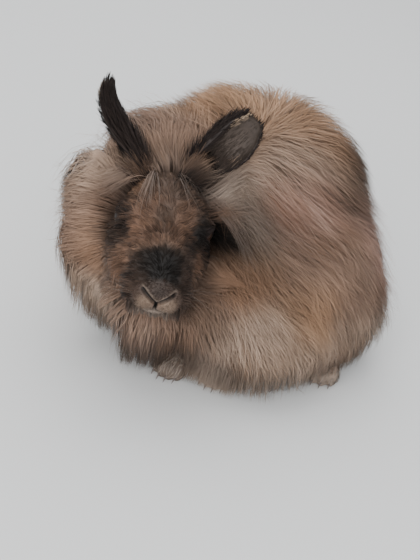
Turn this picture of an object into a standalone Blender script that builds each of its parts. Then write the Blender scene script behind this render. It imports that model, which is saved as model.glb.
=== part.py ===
"""A long-haired domestic rabbit, life size, crouching with its head turned to its left.

Metres, +Z up. The rabbit faces -Y and its own left is +X. The flesh and the inner coat
are blended from named ellipsoids, the long coat is a cover of flat, tapered locks rooted
in them, and the whole is then parted into head, neck, torso, legs and tail by thin
curved cuts. Ears and eyes sit in sockets of their own shape.
"""

import math
import random

import bmesh
import bpy
from mathutils import Matrix, Vector
from mathutils.bvhtree import BVHTree

MM = 0.001

# Clearance that parted and touching pieces keep, and an overrun for cutters.
GAP = 0.3 * MM

# Points nearer than this are made one.
MERGE = 0.01 * MM

# The middle of the whole rabbit's outline over the floor, taken as the origin.
MIDDLE = Vector((-7.1, 14.2, 0.0)) * MM

# Head: where its centre is, and how it is turned to the left, raised and tilted.
HEAD_CENTRE = Vector((-20.5, -72.0, 109.0)) * MM
HEAD_TURN = 35.8
HEAD_DIP = -4.8
HEAD_TILT = 4.0

# Head forms in the head's own frame, in millimetres: centre, radii.
# The left one of each pair is named, and its mirror image is made with it.
HEAD_FORMS = {
    "cranium": ((0, 12, 6), (27, 36, 28)),
    "forehead": ((0, -8, 9), (21, 29, 20)),
    "face": ((0, -26, -4), (23, 33, 22)),
    "muzzle": ((0, -45, -11), (17.5, 19, 15)),
    "chin": ((0, -42, -28), (12, 15, 8)),
    "jaw": ((0, -12, -21), (20, 35, 16)),
}
HEAD_PAIRS = {
    "cheek": ((16, -2, -12), (18, 32, 22)),
    "whisker_pad": ((8.5, -50, -19.5), (11, 14, 10.5)),
    "temple": ((17, -4, 8), (11, 24, 17)),
}

# Coat forms around the face, in the head's frame.
MANE_FORMS = {
    "mane": ((-10, 36, -22), (62, 34, 60)),
    "ruff": ((0, 26, -10), (46, 30, 42)),
    "left_ruff": ((40, 42, -26), (30, 28, 44)),
    "right_ruff": ((-48, 42, 11), (27, 28, 40)),
    "beard": ((4, -2, -50), (38, 30, 34)),
}

# Body forms in millimetres: centre, radii, out to the tips of the coat.
BODY_FORMS = {
    "rump": ((-22, 52, 88), (91, 94, 88)),
    "loin": ((-22, 24, 84), (84, 76, 82)),
    "left_flank": ((38, 32, 70), (64, 74, 62)),
    "left_side": ((48, -10, 40), (50, 60, 40)),
    "right_side": ((-62, 0, 44), (46, 58, 43)),
    "right_shoulder": ((-70, -4, 106), (55, 54, 60)),
    "shoulders": ((-6, -2, 76), (78, 56, 70)),
    "chest": ((14, -38, 46), (58, 40, 44)),
    "nape": ((-46, -20, 100), (54, 50, 54)),
    "left_haunch": ((58, 42, 44), (54, 62, 44)),
    "right_haunch": ((-82, 40, 44), (42, 62, 44)),
    "belly": ((-12, 20, 44), (80, 88, 41)),
}

# The blended forms stop this far inside the tips; the locks make up the rest.
CORE_INSET = 9.0

# Locks of the coat, in millimetres: spacing of the roots, length, half width at the
# widest, half thickness at the root, height of the tip over the core, share of droop.
COAT_LOCKS = {
    "torso": {"spacing": 33, "length": 76, "width": 20, "thick": 2.4, "lift": 10, "curl": 0.5},
    "mane": {"spacing": 27, "length": 60, "width": 15, "thick": 2.2, "lift": 11, "curl": 0.7},
    "tail": {"spacing": 20, "length": 34, "width": 11, "thick": 2.0, "lift": 6, "curl": 0.3},
    "face": {"spacing": 0, "length": 44, "width": 8, "thick": 2.0, "lift": 4.5, "curl": 0.3},
}
TAIL_REACH = 40
# Locks that fall over the head, in its own frame: root, way they fall, share of the length.
HEAD_LOCKS = {
    "forelock_middle": ((2, 22, 36), (-0.05, -1, -0.3), 1.0),
    "forelock_right": ((-11, 20, 34), (0.15, -1, -0.3), 0.85),
    "forelock_left": ((14, 18, 34), (-0.15, -1, -0.3), 0.8),
    "left_temple": ((27, 18, 16), (0.1, -0.25, -1), 1.0),
    "left_cheek": ((30, 20, -4), (0.2, -0.4, -1), 1.1),
    "right_temple": ((-27, 18, 16), (-0.1, -0.25, -1), 1.0),
    "right_cheek": ((-30, 20, -4), (-0.2, -0.4, -1), 1.1),
}
# Locks start this deep in the core, those of the head less deep.
LOCK_SINK = {"torso": 4.5, "mane": 4.5, "tail": 4.0, "face": 2.2}
# Share of the length and share of the width at each ring of a lock.
LOCK_RINGS = ((0.0, 0.62), (0.33, 1.0), (0.7, 0.78))
LOCK_SEED = 21
BACK_LINE = -9.0  # the coat falls to either side of this line along the back
CREASE_RISE = 9.0  # a lock whose path climbs further than this out of a hollow is left out
# Long hair hangs down to this height over the floor.
HEM_HEIGHT = 3.0

# Eye: ball radius, its place in the head for the left side, and the lids round it.
EYE_RADIUS = 9.0 * MM
EYE_PLACE = (23.5, -6.0, 8.0)
LID_THICKNESS = 1.8 * MM
LID_OPENING = (7.6, 5.8)

# Nostril slits and the line of the mouth, in the head's frame, in millimetres.
NOSTRIL_PLACE = (6.5, -62.0, -14.0)
NOSTRIL_RADII = (1.4, 4.0, 4.6)
NOSTRIL_SPLAY = 38
MOUTH_LINE = ((0, -65, -18), (0, -65, -23), (0, -63, -28))
LIP_LINE = ((-13, -49, -29.5), (-8, -58, -28.3), (0, -63, -28), (8, -58, -28.3), (13, -49, -29.5))
LINE_RADIUS = 0.9 * MM

# Ear: where each starts, bends and ends in the model, and which way its cup looks.
EARS = {
    "left": {
        "path": ((-25, -40, 138), (-12, -24, 154), (1, -8, 182)),
        "opening": (0.47, -0.79, 0.22),
    },
    "right": {
        "path": ((-46, -56, 136), (-86, -61, 168), (-88, -60, 191)),
        "opening": (-0.83, -0.48, -0.1),
    },
}
# Ear section along its length: share of the length, half width, depth, cup (0 solid, 1 open).
EAR_PROFILE = (
    (0.00, 6.5, 6.0, 0.0),
    (0.14, 7.5, 7.0, 0.0),
    (0.28, 11.0, 8.5, 0.55),
    (0.45, 15.0, 9.5, 0.85),
    (0.62, 16.0, 8.5, 1.0),
    (0.78, 13.5, 6.6, 1.0),
    (0.91, 8.5, 4.0, 1.0),
    (1.00, 2.6, 1.2, 1.0),
)
EAR_THICKNESS = 2.0 * MM
EAR_ARC_POINTS = 9

# Forelegs: a forearm and paw each; toes in a row across the front.
FOREPAWS = {"left": (28, -40), "right": (0, -54)}
FOREPAW_TURN = {"left": 12, "right": 6}
FOREARM_TOP = 50
# Hind feet: heel and toe ends on the floor.
HIND_FEET = {"left": ((68, 88), (84, 10)), "right": ((-88, 88), (-104, 10))}

TAIL_PLACE = (-22, 136, 60)
TAIL_RADII = (21, 24, 27)

# Parting volumes in millimetres: centre, radii; the first two in the head's frame.
HEAD_PARTING = ((0, -16, -1), (35, 64, 39))
NECK_PARTING = ((-6, 26, -26), (100, 66, 100))
HAUNCH_PARTING = {
    "left": ((86, 44, 22), (46, 74, 58)),
    "right": ((-102, 44, 22), (46, 74, 58)),
}
TAIL_PARTING = ((-22, 154, 60), (32, 30, 36))

COLOURS = {
    "face_fur": ((0.20, 0.12, 0.08), 0.9),
    "mane_fur": ((0.36, 0.27, 0.20), 0.9),
    "coat_fur": ((0.42, 0.25, 0.16), 0.9),
    "leg_fur": ((0.30, 0.22, 0.17), 0.9),
    "ear_skin": ((0.06, 0.045, 0.04), 0.8),
    "wet_eye": ((0.01, 0.007, 0.006), 0.1),
}


def clear_scene():
    for each in list(bpy.data.objects):
        bpy.data.objects.remove(each, do_unlink=True)


def collection(name):
    made = bpy.data.collections.new(name)
    bpy.context.scene.collection.children.link(made)
    return made


def material(name):
    """A Principled material with the part's plain colour."""
    colour, roughness = COLOURS[name]
    made = bpy.data.materials.new(name)
    made.use_nodes = True
    shader = made.node_tree.nodes["Principled BSDF"]
    shader.inputs["Base Color"].default_value = (*colour, 1)
    shader.inputs["Roughness"].default_value = roughness
    return made


def head_frame():
    """Places the head's own frame in the model."""
    turn = Matrix.Rotation(math.radians(HEAD_TURN), 4, "Z")
    dip = Matrix.Rotation(math.radians(HEAD_DIP), 4, "X")
    tilt = Matrix.Rotation(math.radians(HEAD_TILT), 4, "Y")
    return Matrix.Translation(HEAD_CENTRE) @ turn @ dip @ tilt


def new_object(name, mesh, where):
    made = bpy.data.objects.new(name, mesh)
    where.objects.link(made)
    return made


def from_bmesh(name, form, where):
    """An object with the bmesh's faces in triangles, all of them looking outward."""
    bmesh.ops.triangulate(form, faces=form.faces[:])
    bmesh.ops.recalc_face_normals(form, faces=form.faces[:])
    mesh = bpy.data.meshes.new(name)
    form.to_mesh(mesh)
    form.free()
    return new_object(name, mesh, where)


def ellipsoid(name, centre, radii, where, frame=None, grow=0.0, turn=None, segments=32, rings=20):
    """A ball primitive stretched to three radii; centre and radii in millimetres."""
    ball = bmesh.new()
    bmesh.ops.create_uvsphere(ball, u_segments=segments, v_segments=rings, radius=1)
    stretch = Matrix.Diagonal((*[r * MM + grow for r in radii], 1))
    place = Matrix.Translation(Vector(centre) * MM) @ (turn or Matrix.Identity(4)) @ stretch
    ball.transform((frame or Matrix.Identity(4)) @ place)
    return from_bmesh(name, ball, where)


def tube(name, points, radius, where, frame=None):
    """A round bar along a soft line through the points, in millimetres."""
    curve = bpy.data.curves.new(name, "CURVE")
    curve.dimensions = "3D"
    curve.bevel_depth = radius
    curve.bevel_resolution = 1
    curve.resolution_u = 2
    curve.use_fill_caps = True
    line = curve.splines.new("NURBS")
    line.points.add(len(points) - 1)
    for knot, point in zip(line.points, points):
        knot.co = (*((frame or Matrix.Identity(4)) @ (Vector(point) * MM)), 1)
    line.use_endpoint_u = True
    line.order_u = 3
    bar = bpy.data.objects.new(name, curve)
    where.objects.link(bar)
    closed = bmesh.new()
    closed.from_mesh(evaluated_mesh(bar))
    bmesh.ops.remove_doubles(closed, verts=closed.verts[:], dist=MERGE)
    bpy.data.objects.remove(bar, do_unlink=True)
    return from_bmesh(name, closed, where)


def evaluated_mesh(piece):
    """The piece's mesh with its modifiers applied, in the model's frame."""
    graph = bpy.context.evaluated_depsgraph_get()
    mesh = bpy.data.meshes.new_from_object(piece.evaluated_get(graph))
    mesh.transform(piece.matrix_world)
    return mesh


def apply_modifiers(piece):
    finished = evaluated_mesh(piece)
    piece.modifiers.clear()
    piece.data = finished


def combine(piece, others, operation, where, solver="MANIFOLD"):
    """Unites, cuts or crosses the piece with others, which are then removed."""
    tools = bpy.data.collections.new("tools")
    where.children.link(tools)
    for other in others:
        for holder in list(other.users_collection):
            holder.objects.unlink(other)
        tools.objects.link(other)
    work = piece.modifiers.new("combine", "BOOLEAN")
    work.operation = operation
    work.solver = solver
    work.operand_type = "COLLECTION"
    work.collection = tools
    apply_modifiers(piece)
    for other in list(tools.objects):
        bpy.data.objects.remove(other, do_unlink=True)
    bpy.data.collections.remove(tools)


def swell(piece, depth):
    """Moves the surface outward all over."""
    grown = piece.modifiers.new("swell", "DISPLACE")
    grown.mid_level = 0
    grown.strength = depth
    apply_modifiers(piece)


def copied(piece, name, where):
    return new_object(name, piece.data.copy(), where)


def keep_largest(piece):
    """Drops every closed surface but the one that holds the most."""
    form = bmesh.new()
    form.from_mesh(piece.data)
    bmesh.ops.triangulate(form, faces=form.faces[:])
    form.faces.ensure_lookup_table()
    left = set(form.faces)
    groups = []
    while left:
        seed = left.pop()
        group, edge_of_search = [seed], [seed]
        while edge_of_search:
            face = edge_of_search.pop()
            for edge in face.edges:
                for beside in edge.link_faces:
                    if beside in left:
                        left.remove(beside)
                        group.append(beside)
                        edge_of_search.append(beside)
        groups.append(group)
    held = [sum(f.verts[0].co.dot(f.verts[1].co.cross(f.verts[2].co)) / 6 for f in g) for g in groups]
    best = max(range(len(groups)), key=lambda i: held[i])
    for i, group in enumerate(groups):
        if i != best:
            if held[i] > 1e-7:
                print("dropped from", piece.name, round(held[i] * 1e9), "mm3", group[0].verts[0].co / MM)
            bmesh.ops.delete(form, geom=group, context="FACES")
    loose = [v for v in form.verts if not v.link_faces]
    bmesh.ops.delete(form, geom=loose, context="VERTS")
    form.to_mesh(piece.data)
    form.free()


def joined(name, pieces, where):
    """One object that holds all the pieces' faces, with the pieces removed."""
    whole = bmesh.new()
    for piece in pieces:
        whole.from_mesh(piece.data)
    mesh = bpy.data.meshes.new(name)
    whole.to_mesh(mesh)
    whole.free()
    for piece in pieces:
        bpy.data.objects.remove(piece, do_unlink=True)
    return new_object(name, mesh, where)


def blended(name, pieces, where, voxel, softness, faces):
    """The pieces melted into one soft form: voxels, then smoothing, then fewer faces."""
    form = joined(name, pieces, where)
    remesh = form.modifiers.new("melt", "REMESH")
    remesh.mode = "VOXEL"
    remesh.voxel_size = voxel
    smooth = form.modifiers.new("soften", "SMOOTH")
    smooth.factor = 0.5
    smooth.iterations = softness
    melted = evaluated_mesh(form)
    reduce = form.modifiers.new("thin_out", "DECIMATE")
    reduce.ratio = min(1.0, faces / (2 * len(melted.polygons)))
    reduce.use_collapse_triangulate = True
    apply_modifiers(form)
    return form


def ear(side, name, where, grow=0.0):
    """A cupped ear: crescent sections set along a bent line, solid at the root."""
    start, bend, end = [Vector(p) * MM for p in EARS[side]["path"]]
    opening = Vector(EARS[side]["opening"])
    rings = []
    for share, width, depth, cup in EAR_PROFILE:
        along = share
        if share == 0.0:
            along = -grow / 0.07
        if share == 1.0:
            along = 1 + grow / 0.07
        centre = start * (1 - along) ** 2 + bend * 2 * along * (1 - along) + end * along ** 2
        ahead = ((bend - start) * (1 - along) + (end - bend) * along).normalized()
        normal = (opening - ahead * opening.dot(ahead)).normalized()
        across = ahead.cross(normal)
        half, deep = width * MM + grow, depth * MM + grow
        thick = EAR_THICKNESS + 2 * grow
        inner_half = max(half - thick, half * 0.35)
        inner_deep = (1 - cup) * -deep + cup * (deep - thick)
        ring = []
        for i in range(EAR_ARC_POINTS):
            turn = math.pi * (i / (EAR_ARC_POINTS - 1) - 0.5)
            lip = grow * 1.5 if i in (0, EAR_ARC_POINTS - 1) else 0.0
            bow = deep * math.cos(turn) - lip
            ring.append(centre + across * half * math.sin(turn) - normal * bow)
        for i in range(1, EAR_ARC_POINTS - 1):
            turn = math.pi * (0.5 - i / (EAR_ARC_POINTS - 1))
            span = (1 - cup) * half + cup * inner_half
            ring.append(centre + across * span * math.sin(turn) - normal * inner_deep * math.cos(turn))
        rings.append(ring)
    form = bmesh.new()
    grid = [[form.verts.new(point) for point in ring] for ring in rings]
    around = len(grid[0])
    for lower, upper in zip(grid, grid[1:]):
        for i in range(around):
            j = (i + 1) % around
            form.faces.new((lower[i], lower[j], upper[j]))
            form.faces.new((lower[i], upper[j], upper[i]))
    form.faces.new(grid[0][::-1])
    form.faces.new(grid[-1])
    return from_bmesh(name, form, where)


def eye_ball(side, name, where, grow=0.0):
    x, y, z = EYE_PLACE
    radius = EYE_RADIUS / MM
    turn = Matrix.Rotation(math.radians(90), 4, "Y")
    return ellipsoid(name, (side * x, y, z), (radius,) * 3, where, head_frame(), grow, turn, 16, 10)


def head_form(where):
    """The head with lids, nostrils and the line of the mouth."""
    frame = head_frame()
    pieces = [ellipsoid(n, c, r, where, frame) for n, (c, r) in HEAD_FORMS.items()]
    for name, (centre, radii) in HEAD_PAIRS.items():
        for side in (1, -1):
            x, y, z = centre
            pieces.append(ellipsoid(name, (side * x, y, z), radii, where, frame))
    head = blended("head_form", pieces, where, 1.8 * MM, 8, 1100)
    x, y, z = EYE_PLACE
    lids = [eye_ball(side, "lids", where, LID_THICKNESS) for side in (1, -1)]
    combine(head, lids, "UNION", where)
    cutters = []
    for side in (1, -1):
        wide, high = LID_OPENING
        place, radii = (side * (x + 12), y, z), (14, wide, high)
        cutters.append(ellipsoid("opening", place, radii, where, frame, 0, None, 14, 10))
        nx, ny, nz = NOSTRIL_PLACE
        splay = Matrix.Rotation(math.radians(side * NOSTRIL_SPLAY), 4, "Y")
        cutters.append(
            ellipsoid("nostril", (side * nx, ny, nz), NOSTRIL_RADII, where, frame, 0, splay, 8, 6)
        )
    combine(head, cutters, "DIFFERENCE", where)
    combine(head, [tube("mouth", MOUTH_LINE, LINE_RADIUS, where, frame)], "DIFFERENCE", where)
    combine(head, [tube("lips", LIP_LINE, LINE_RADIUS, where, frame)], "DIFFERENCE", where)
    return head


def mane_share(point):
    """1 around the face, 0 on the body."""
    local = head_frame().inverted() @ point / MM
    apart = (local - Vector(MANE_FORMS["mane"][0])).length
    return min(1.0, max(0.0, (88 - apart) / 20))


def lie(point, normal):
    """Which way the hair lies: away from the face on the mane, back and down on the body."""
    frame = head_frame()
    local = frame.inverted() @ point
    outward = Vector((local.x, 0.35 * abs(local.x) + 8 * MM, local.z + 14 * MM)).normalized()
    from_face = frame.to_3x3() @ outward + Vector((0, 0, -0.55))
    on_body = Vector((0.12 * (1 if point.x > BACK_LINE * MM else -1), 1.0, -0.85))
    share = mane_share(point)
    wish = from_face * share + on_body * (1 - share)
    return (wish - normal * wish.dot(normal)).normalized()


def lock(core, root, kind, rng, where, stretch=1.0, fall=None):
    """A flat, tapered lock that leaves the core at its root and bends along the lie."""
    sizes = COAT_LOCKS[kind]
    way = (lambda spot, normal: (fall - normal * fall.dot(normal)).normalized()) if fall else lie
    length = sizes["length"] * stretch * rng.uniform(0.85, 1.15) * MM
    width = sizes["width"] * rng.uniform(0.85, 1.1) * MM
    curl = rng.uniform(-sizes["curl"], sizes["curl"])
    lift = sizes["lift"] * rng.uniform(0.7, 1.15) * MM
    sink = LOCK_SINK[kind] * MM
    spot, normal, _, _ = core.find_nearest(root)
    ahead = way(spot, normal)
    rings, travelled, place = [], 0.0, spot
    shares = [ring[0] for ring in LOCK_RINGS] + [1.0]
    for share in shares:
        while travelled < share * length:
            step = 4 * MM
            spot, normal, _, _ = core.find_nearest(place)
            turned = Matrix.Rotation(curl * step / length, 3, normal) @ ahead
            wish = way(spot, normal)
            ahead = (turned * 3 + wish).normalized()
            if normal.z < -0.3:
                ahead = (ahead + Vector((0, 0, -0.6))).normalized()
                low = place.z < 4 * HEM_HEIGHT * MM
                if low:
                    ahead = Vector((ahead.x, ahead.y, 0.2 * ahead.z)).normalized()
                place = place + ahead * step * (0.35 if low else 1.0)
            else:
                ahead = (ahead - normal * ahead.dot(normal)).normalized()
                place = core.find_nearest(place + ahead * step)[0]
            travelled += step
        spot, normal, _, _ = core.find_nearest(place)
        normal = Vector((normal.x, normal.y, max(normal.z, 0.1))).normalized()
        height = (lift + sink) * share ** 1.2 - sink
        rings.append((place + normal * height, ahead, normal))
    first_place, _, first_normal = rings[0]
    if max((ring[0] - first_place).dot(first_normal) for ring in rings) > lift + sink + CREASE_RISE * MM:
        return None
    form = bmesh.new()
    grid = []
    for (centre, along, up), (share, wide) in zip(rings, LOCK_RINGS):
        side = along.cross(up).normalized()
        over = side.cross(along).normalized()
        half, thick = width * wide, sizes["thick"] * MM * (1 - 0.55 * share)
        corners = (side * -half - over * half * 0.14, over * thick, side * half - over * half * 0.14,
                   over * -thick)
        grid.append([form.verts.new(above_hem(centre + corner)) for corner in corners])
    tip = form.verts.new(above_hem(rings[-1][0]))
    for lower, upper in zip(grid, grid[1:]):
        for edge, middle in ((0, 1), (0, 3), (2, 1), (2, 3)):
            form.faces.new((lower[edge], lower[middle], upper[middle]))
            form.faces.new((lower[edge], upper[middle], upper[edge]))
    last, first = grid[-1], grid[0]
    for i in range(4):
        form.faces.new((last[i], last[(i + 1) % 4], tip))
    form.faces.new((first[0], first[1], first[3]))
    form.faces.new((first[2], first[3], first[1]))
    return from_bmesh(kind + "_lock", form, where)


def above_hem(point):
    """Keeps hair tips off the floor: near it they flatten out more and more."""
    hem = HEM_HEIGHT * MM
    if point.z < 3 * hem:
        point = Vector((point.x, point.y, hem + 2 * hem * math.exp((point.z - 3 * hem) / (3 * hem))))
    return point


def coat_locks(whole, where):
    """Locks with evenly spaced roots over the coat, clear of the face, ears and soles."""
    rng = random.Random(LOCK_SEED)
    core = surface_tree(whole)
    keep_out = head_frame().inverted()
    whole.data.calc_loop_triangles()
    faces = [(f.area, f) for f in whole.data.loop_triangles]
    total = sum(area for area, _ in faces)
    ears = [Vector(EARS[side]["path"][0]) * MM for side in EARS]
    roots, made = [], []
    for _ in range(6000):
        pick = rng.uniform(0, total)
        for area, face in faces:
            pick -= area
            if pick <= 0:
                break
        a, b, c = [whole.data.vertices[i].co for i in face.vertices]
        u, v = rng.random(), rng.random()
        u, v = (1 - u, 1 - v) if u + v > 1 else (u, v)
        root = a + (b - a) * u + (c - a) * v
        local = keep_out @ root / MM
        centre, radii = HEAD_PARTING
        inside_face = sum(((local[i] - centre[i]) / (radii[i] + 5)) ** 2 for i in range(3)) < 1
        low = root.z < 14 * MM or face.normal.z < -0.45
        if inside_face or low or any((root - e).length < 14 * MM for e in ears):
            continue
        kind = "mane" if mane_share(root) > 0.5 else "torso"
        if (root - Vector(TAIL_PLACE) * MM).length < TAIL_REACH * MM:
            kind = "tail"
        spacing = COAT_LOCKS[kind]["spacing"] * MM
        if any((root - other).length < spacing for other in roots):
            continue
        tuft = lock(core, root, kind, rng, where)
        if tuft:
            roots.append(root)
            made.append(tuft)
    for root, fall, stretch in HEAD_LOCKS.values():
        start = head_frame() @ (Vector(root) * MM)
        way = head_frame().to_3x3() @ Vector(fall)
        made.append(lock(core, start, "face", rng, where, stretch, way))
    made = [tuft for tuft in made if tuft]
    print("locks", len(made))
    return made


def surface_tree(piece):
    form = bmesh.new()
    form.from_mesh(piece.data)
    tree = BVHTree.FromBMesh(form)
    form.free()
    return tree


def toes(where, centre, turn, width, length, height, grow=0.0, count=4):
    """A row of toe ends with short claws across the front of a foot, in millimetres."""
    facing = Matrix.Translation(Vector((*centre, 0)) * MM) @ Matrix.Rotation(math.radians(turn), 4, "Z")
    made = []
    for i in range(count):
        across = (i - (count - 1) / 2) / count
        reach = -length * (0.5 - abs(across) * 0.45)
        place = (across * width, reach, height * 0.45)
        radii = (width / count * 0.62, length * 0.28, height * 0.55)
        made.append(ellipsoid("toe", place, radii, where, facing, grow, None, 7, 5))
        claw = bmesh.new()
        bmesh.ops.create_cone(
            claw,
            cap_ends=True,
            segments=5,
            radius1=1.2 * MM + grow,
            radius2=0.35 * MM + grow,
            depth=6 * MM + 2 * grow,
        )
        lean = Matrix.Rotation(math.radians(105), 4, "X")
        tip = Vector((across * width, reach - length * 0.26, height * 0.36)) * MM
        claw.transform(facing @ Matrix.Translation(tip) @ lean)
        made.append(from_bmesh("claw", claw, where))
    return made


def floor_cut(piece, where):
    """Cuts the piece off flat at the floor."""
    block = bmesh.new()
    bmesh.ops.create_cube(block, size=1)
    block.transform(Matrix.Translation((0, 0, -0.5)))
    combine(piece, [from_bmesh("floor", block, where)], "DIFFERENCE", where)


def foreleg(side, name, where):
    """A forearm and a paw that stands flat on the floor, and the socket for them."""
    x, y = FOREPAWS[side]
    turn = FOREPAW_TURN[side]
    facing = Matrix.Translation(Vector((x, y, 0)) * MM) @ Matrix.Rotation(math.radians(turn), 4, "Z")
    arm = ellipsoid("arm", (0, 12, FOREARM_TOP * 0.5), (11, 13, FOREARM_TOP * 0.5), where, facing)
    wrist = ellipsoid("wrist", (0, 4, 12), (10.5, 14, 12), where, facing)
    paw = ellipsoid("paw", (0, -6, 7), (11, 15, 9), where, facing)
    leg = blended(name, [arm, wrist, paw], where, 1.6 * MM, 3, 140)
    socket = copied(leg, "leg_socket", where)
    swell(socket, GAP * 1.5)
    for form, grow in ((leg, 0.0), (socket, GAP)):
        combine(form, toes(where, (x, y - 4), turn, 22, 26, 12, grow), "UNION", where)
    floor_cut(leg, where)
    return leg, socket


def hind_foot(side, where):
    """A long hind foot that lies flat on the floor from heel to toes."""
    heel, toe = [Vector((*p, 0)) for p in HIND_FEET[side]]
    middle = (heel + toe) / 2
    length = (heel - toe).length
    turn = math.degrees(math.atan2(heel.y - toe.y, heel.x - toe.x)) - 90
    facing = Matrix.Translation(middle * MM) @ Matrix.Rotation(math.radians(turn), 4, "Z")
    sole = ellipsoid("sole", (0, 0, 8), (11, length * 0.52, 10), where, facing)
    ankle = ellipsoid("ankle", (0, length * 0.25, 12), (11, 18, 14), where, facing)
    foot = blended("foot", [sole, ankle], where, 1.8 * MM, 3, 150)
    front = middle + (toe - middle) * 0.78
    combine(foot, toes(where, (front.x, front.y), turn, 25, 30, 13), "UNION", where)
    return foot


def part_off(whole, name, cutter, grown, where, parts):
    """Takes the piece inside the cutter as a node and cuts the grown cutter off the rest."""
    node = copied(whole, name, parts)
    combine(node, [cutter], "INTERSECT", where)
    combine(whole, [grown], "DIFFERENCE", where)
    keep_largest(node)
    return node


def parting(name, centre, radii, where, frame=None, segments=16, rings=10):
    """A pair of volumes for one thin curved cut."""
    return [
        ellipsoid(name, centre, radii, where, frame, grow, None, segments, rings) for grow in (0.0, GAP)
    ]


def dress(node, slot):
    node.data.materials.clear()
    node.data.materials.append(bpy.data.materials.get(slot) or material(slot))


def main():
    clear_scene()
    parts = collection("domestic_rabbit")
    tools = collection("forming_tools")
    frame = head_frame()
    inset = -CORE_INSET * MM
    coat = [ellipsoid(n, c, r, tools, None, inset) for n, (c, r) in BODY_FORMS.items()]
    coat += [ellipsoid(n, c, r, tools, frame, inset) for n, (c, r) in MANE_FORMS.items()]
    coat.append(ellipsoid("tail_form", TAIL_PLACE, TAIL_RADII, tools, None, inset / 2))
    whole = blended("whole", coat, tools, 3.0 * MM, 10, 800)
    combine(whole, [head_form(tools)], "UNION", tools)
    locks = coat_locks(whole, tools)
    feet = [hind_foot(side, tools) for side in ("left", "right")]
    combine(whole, locks + feet, "UNION", tools)
    nodes = {}
    sockets = []
    for side, sign in (("left", 1), ("right", -1)):
        nodes["ear_" + side] = ear(side, "ear_" + side, parts)
        nodes["eye_" + side] = eye_ball(sign, "eye_" + side, parts)
        nodes["foreleg_" + side], leg_socket = foreleg(side, "foreleg_" + side, parts)
        for holder in list(leg_socket.users_collection):
            holder.objects.unlink(leg_socket)
        tools.objects.link(leg_socket)
        sockets.append(ear(side, "ear_socket", tools, GAP))
        sockets.append(eye_ball(sign, "eye_socket", tools, GAP))
        sockets.append(leg_socket)
    floor_cut(whole, tools)
    combine(whole, sockets, "DIFFERENCE", tools)
    nodes["head"] = part_off(whole, "head", *parting("cut", *HEAD_PARTING, tools, frame), tools, parts)
    for side in ("left", "right"):
        cuts = parting("cut", *HAUNCH_PARTING[side], tools)
        nodes["hindleg_" + side] = part_off(whole, "hindleg_" + side, *cuts, tools, parts)
    nodes["neck"] = part_off(whole, "neck", *parting("cut", *NECK_PARTING, tools, frame, 22, 14), tools, parts)
    nodes["tail"] = part_off(whole, "tail", *parting("cut", *TAIL_PARTING, tools), tools, parts)
    nodes["torso"] = copied(whole, "torso", parts)
    keep_largest(nodes["torso"])
    slots = {"head": "face_fur", "neck": "mane_fur", "torso": "coat_fur", "tail": "coat_fur"}
    for name, node in nodes.items():
        slot = slots.get(name, "leg_fur")
        slot = "ear_skin" if name.startswith("ear") else slot
        slot = "wet_eye" if name.startswith("eye") else slot
        dress(node, slot)
        node.data.transform(Matrix.Translation(-MIDDLE))
    for left in list(tools.all_objects):
        bpy.data.objects.remove(left, do_unlink=True)
    bpy.data.collections.remove(tools)


main()
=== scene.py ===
import math
from functools import partial

import bpy
import numpy as np
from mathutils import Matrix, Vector


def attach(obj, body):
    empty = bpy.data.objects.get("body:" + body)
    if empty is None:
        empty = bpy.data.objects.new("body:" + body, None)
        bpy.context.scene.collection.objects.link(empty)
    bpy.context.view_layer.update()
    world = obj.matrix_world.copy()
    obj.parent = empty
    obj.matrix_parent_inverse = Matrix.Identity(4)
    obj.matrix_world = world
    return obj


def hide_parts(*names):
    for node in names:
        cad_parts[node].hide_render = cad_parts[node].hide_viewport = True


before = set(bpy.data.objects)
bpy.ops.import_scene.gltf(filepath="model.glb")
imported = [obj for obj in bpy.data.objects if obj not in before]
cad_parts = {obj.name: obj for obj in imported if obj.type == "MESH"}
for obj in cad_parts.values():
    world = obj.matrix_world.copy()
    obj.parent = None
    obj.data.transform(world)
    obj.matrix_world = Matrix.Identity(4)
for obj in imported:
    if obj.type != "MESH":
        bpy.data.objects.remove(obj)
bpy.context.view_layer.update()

# The flesh: a soft body under the coat, with the head, the legs and the tail grown from it. Each form
# is a ball stretched to three radii, in millimetres, and the forms melt into one another where they
# meet. The body forms reach out to the tips of the coat, and the skin lies deep under them.
middle = np.array([-7.1, 14.2, 0.0])
head_place = np.array([-20.5, -72.0, 109.0]) - middle
head_turn, head_dip, head_tilt = 35.8, -4.8, 4.0
body_forms = {
    "rump": ((-22, 52, 88), (91, 94, 88)),
    "loin": ((-22, 24, 84), (84, 76, 82)),
    "left flank": ((38, 32, 70), (64, 74, 62)),
    "left side": ((48, -10, 40), (50, 60, 40)),
    "right side": ((-62, 0, 44), (46, 58, 43)),
    "right shoulder": ((-70, -4, 106), (55, 54, 60)),
    "shoulders": ((-6, -2, 76), (78, 56, 70)),
    "chest": ((14, -38, 46), (58, 40, 44)),
    "nape": ((-46, -20, 100), (54, 50, 54)),
    "left haunch": ((58, 42, 44), (54, 62, 44)),
    "right haunch": ((-82, 40, 44), (42, 62, 44)),
    "belly": ((-12, 20, 44), (80, 88, 41)),
}
mane_forms = {
    "mane": ((-10, 36, -22), (62, 34, 60)),
    "ruff": ((0, 26, -10), (46, 30, 42)),
    "left ruff": ((40, 42, -26), (30, 28, 44)),
    "right ruff": ((-48, 42, 11), (27, 28, 40)),
    "beard": ((4, -2, -50), (38, 30, 34)),
}
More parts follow.
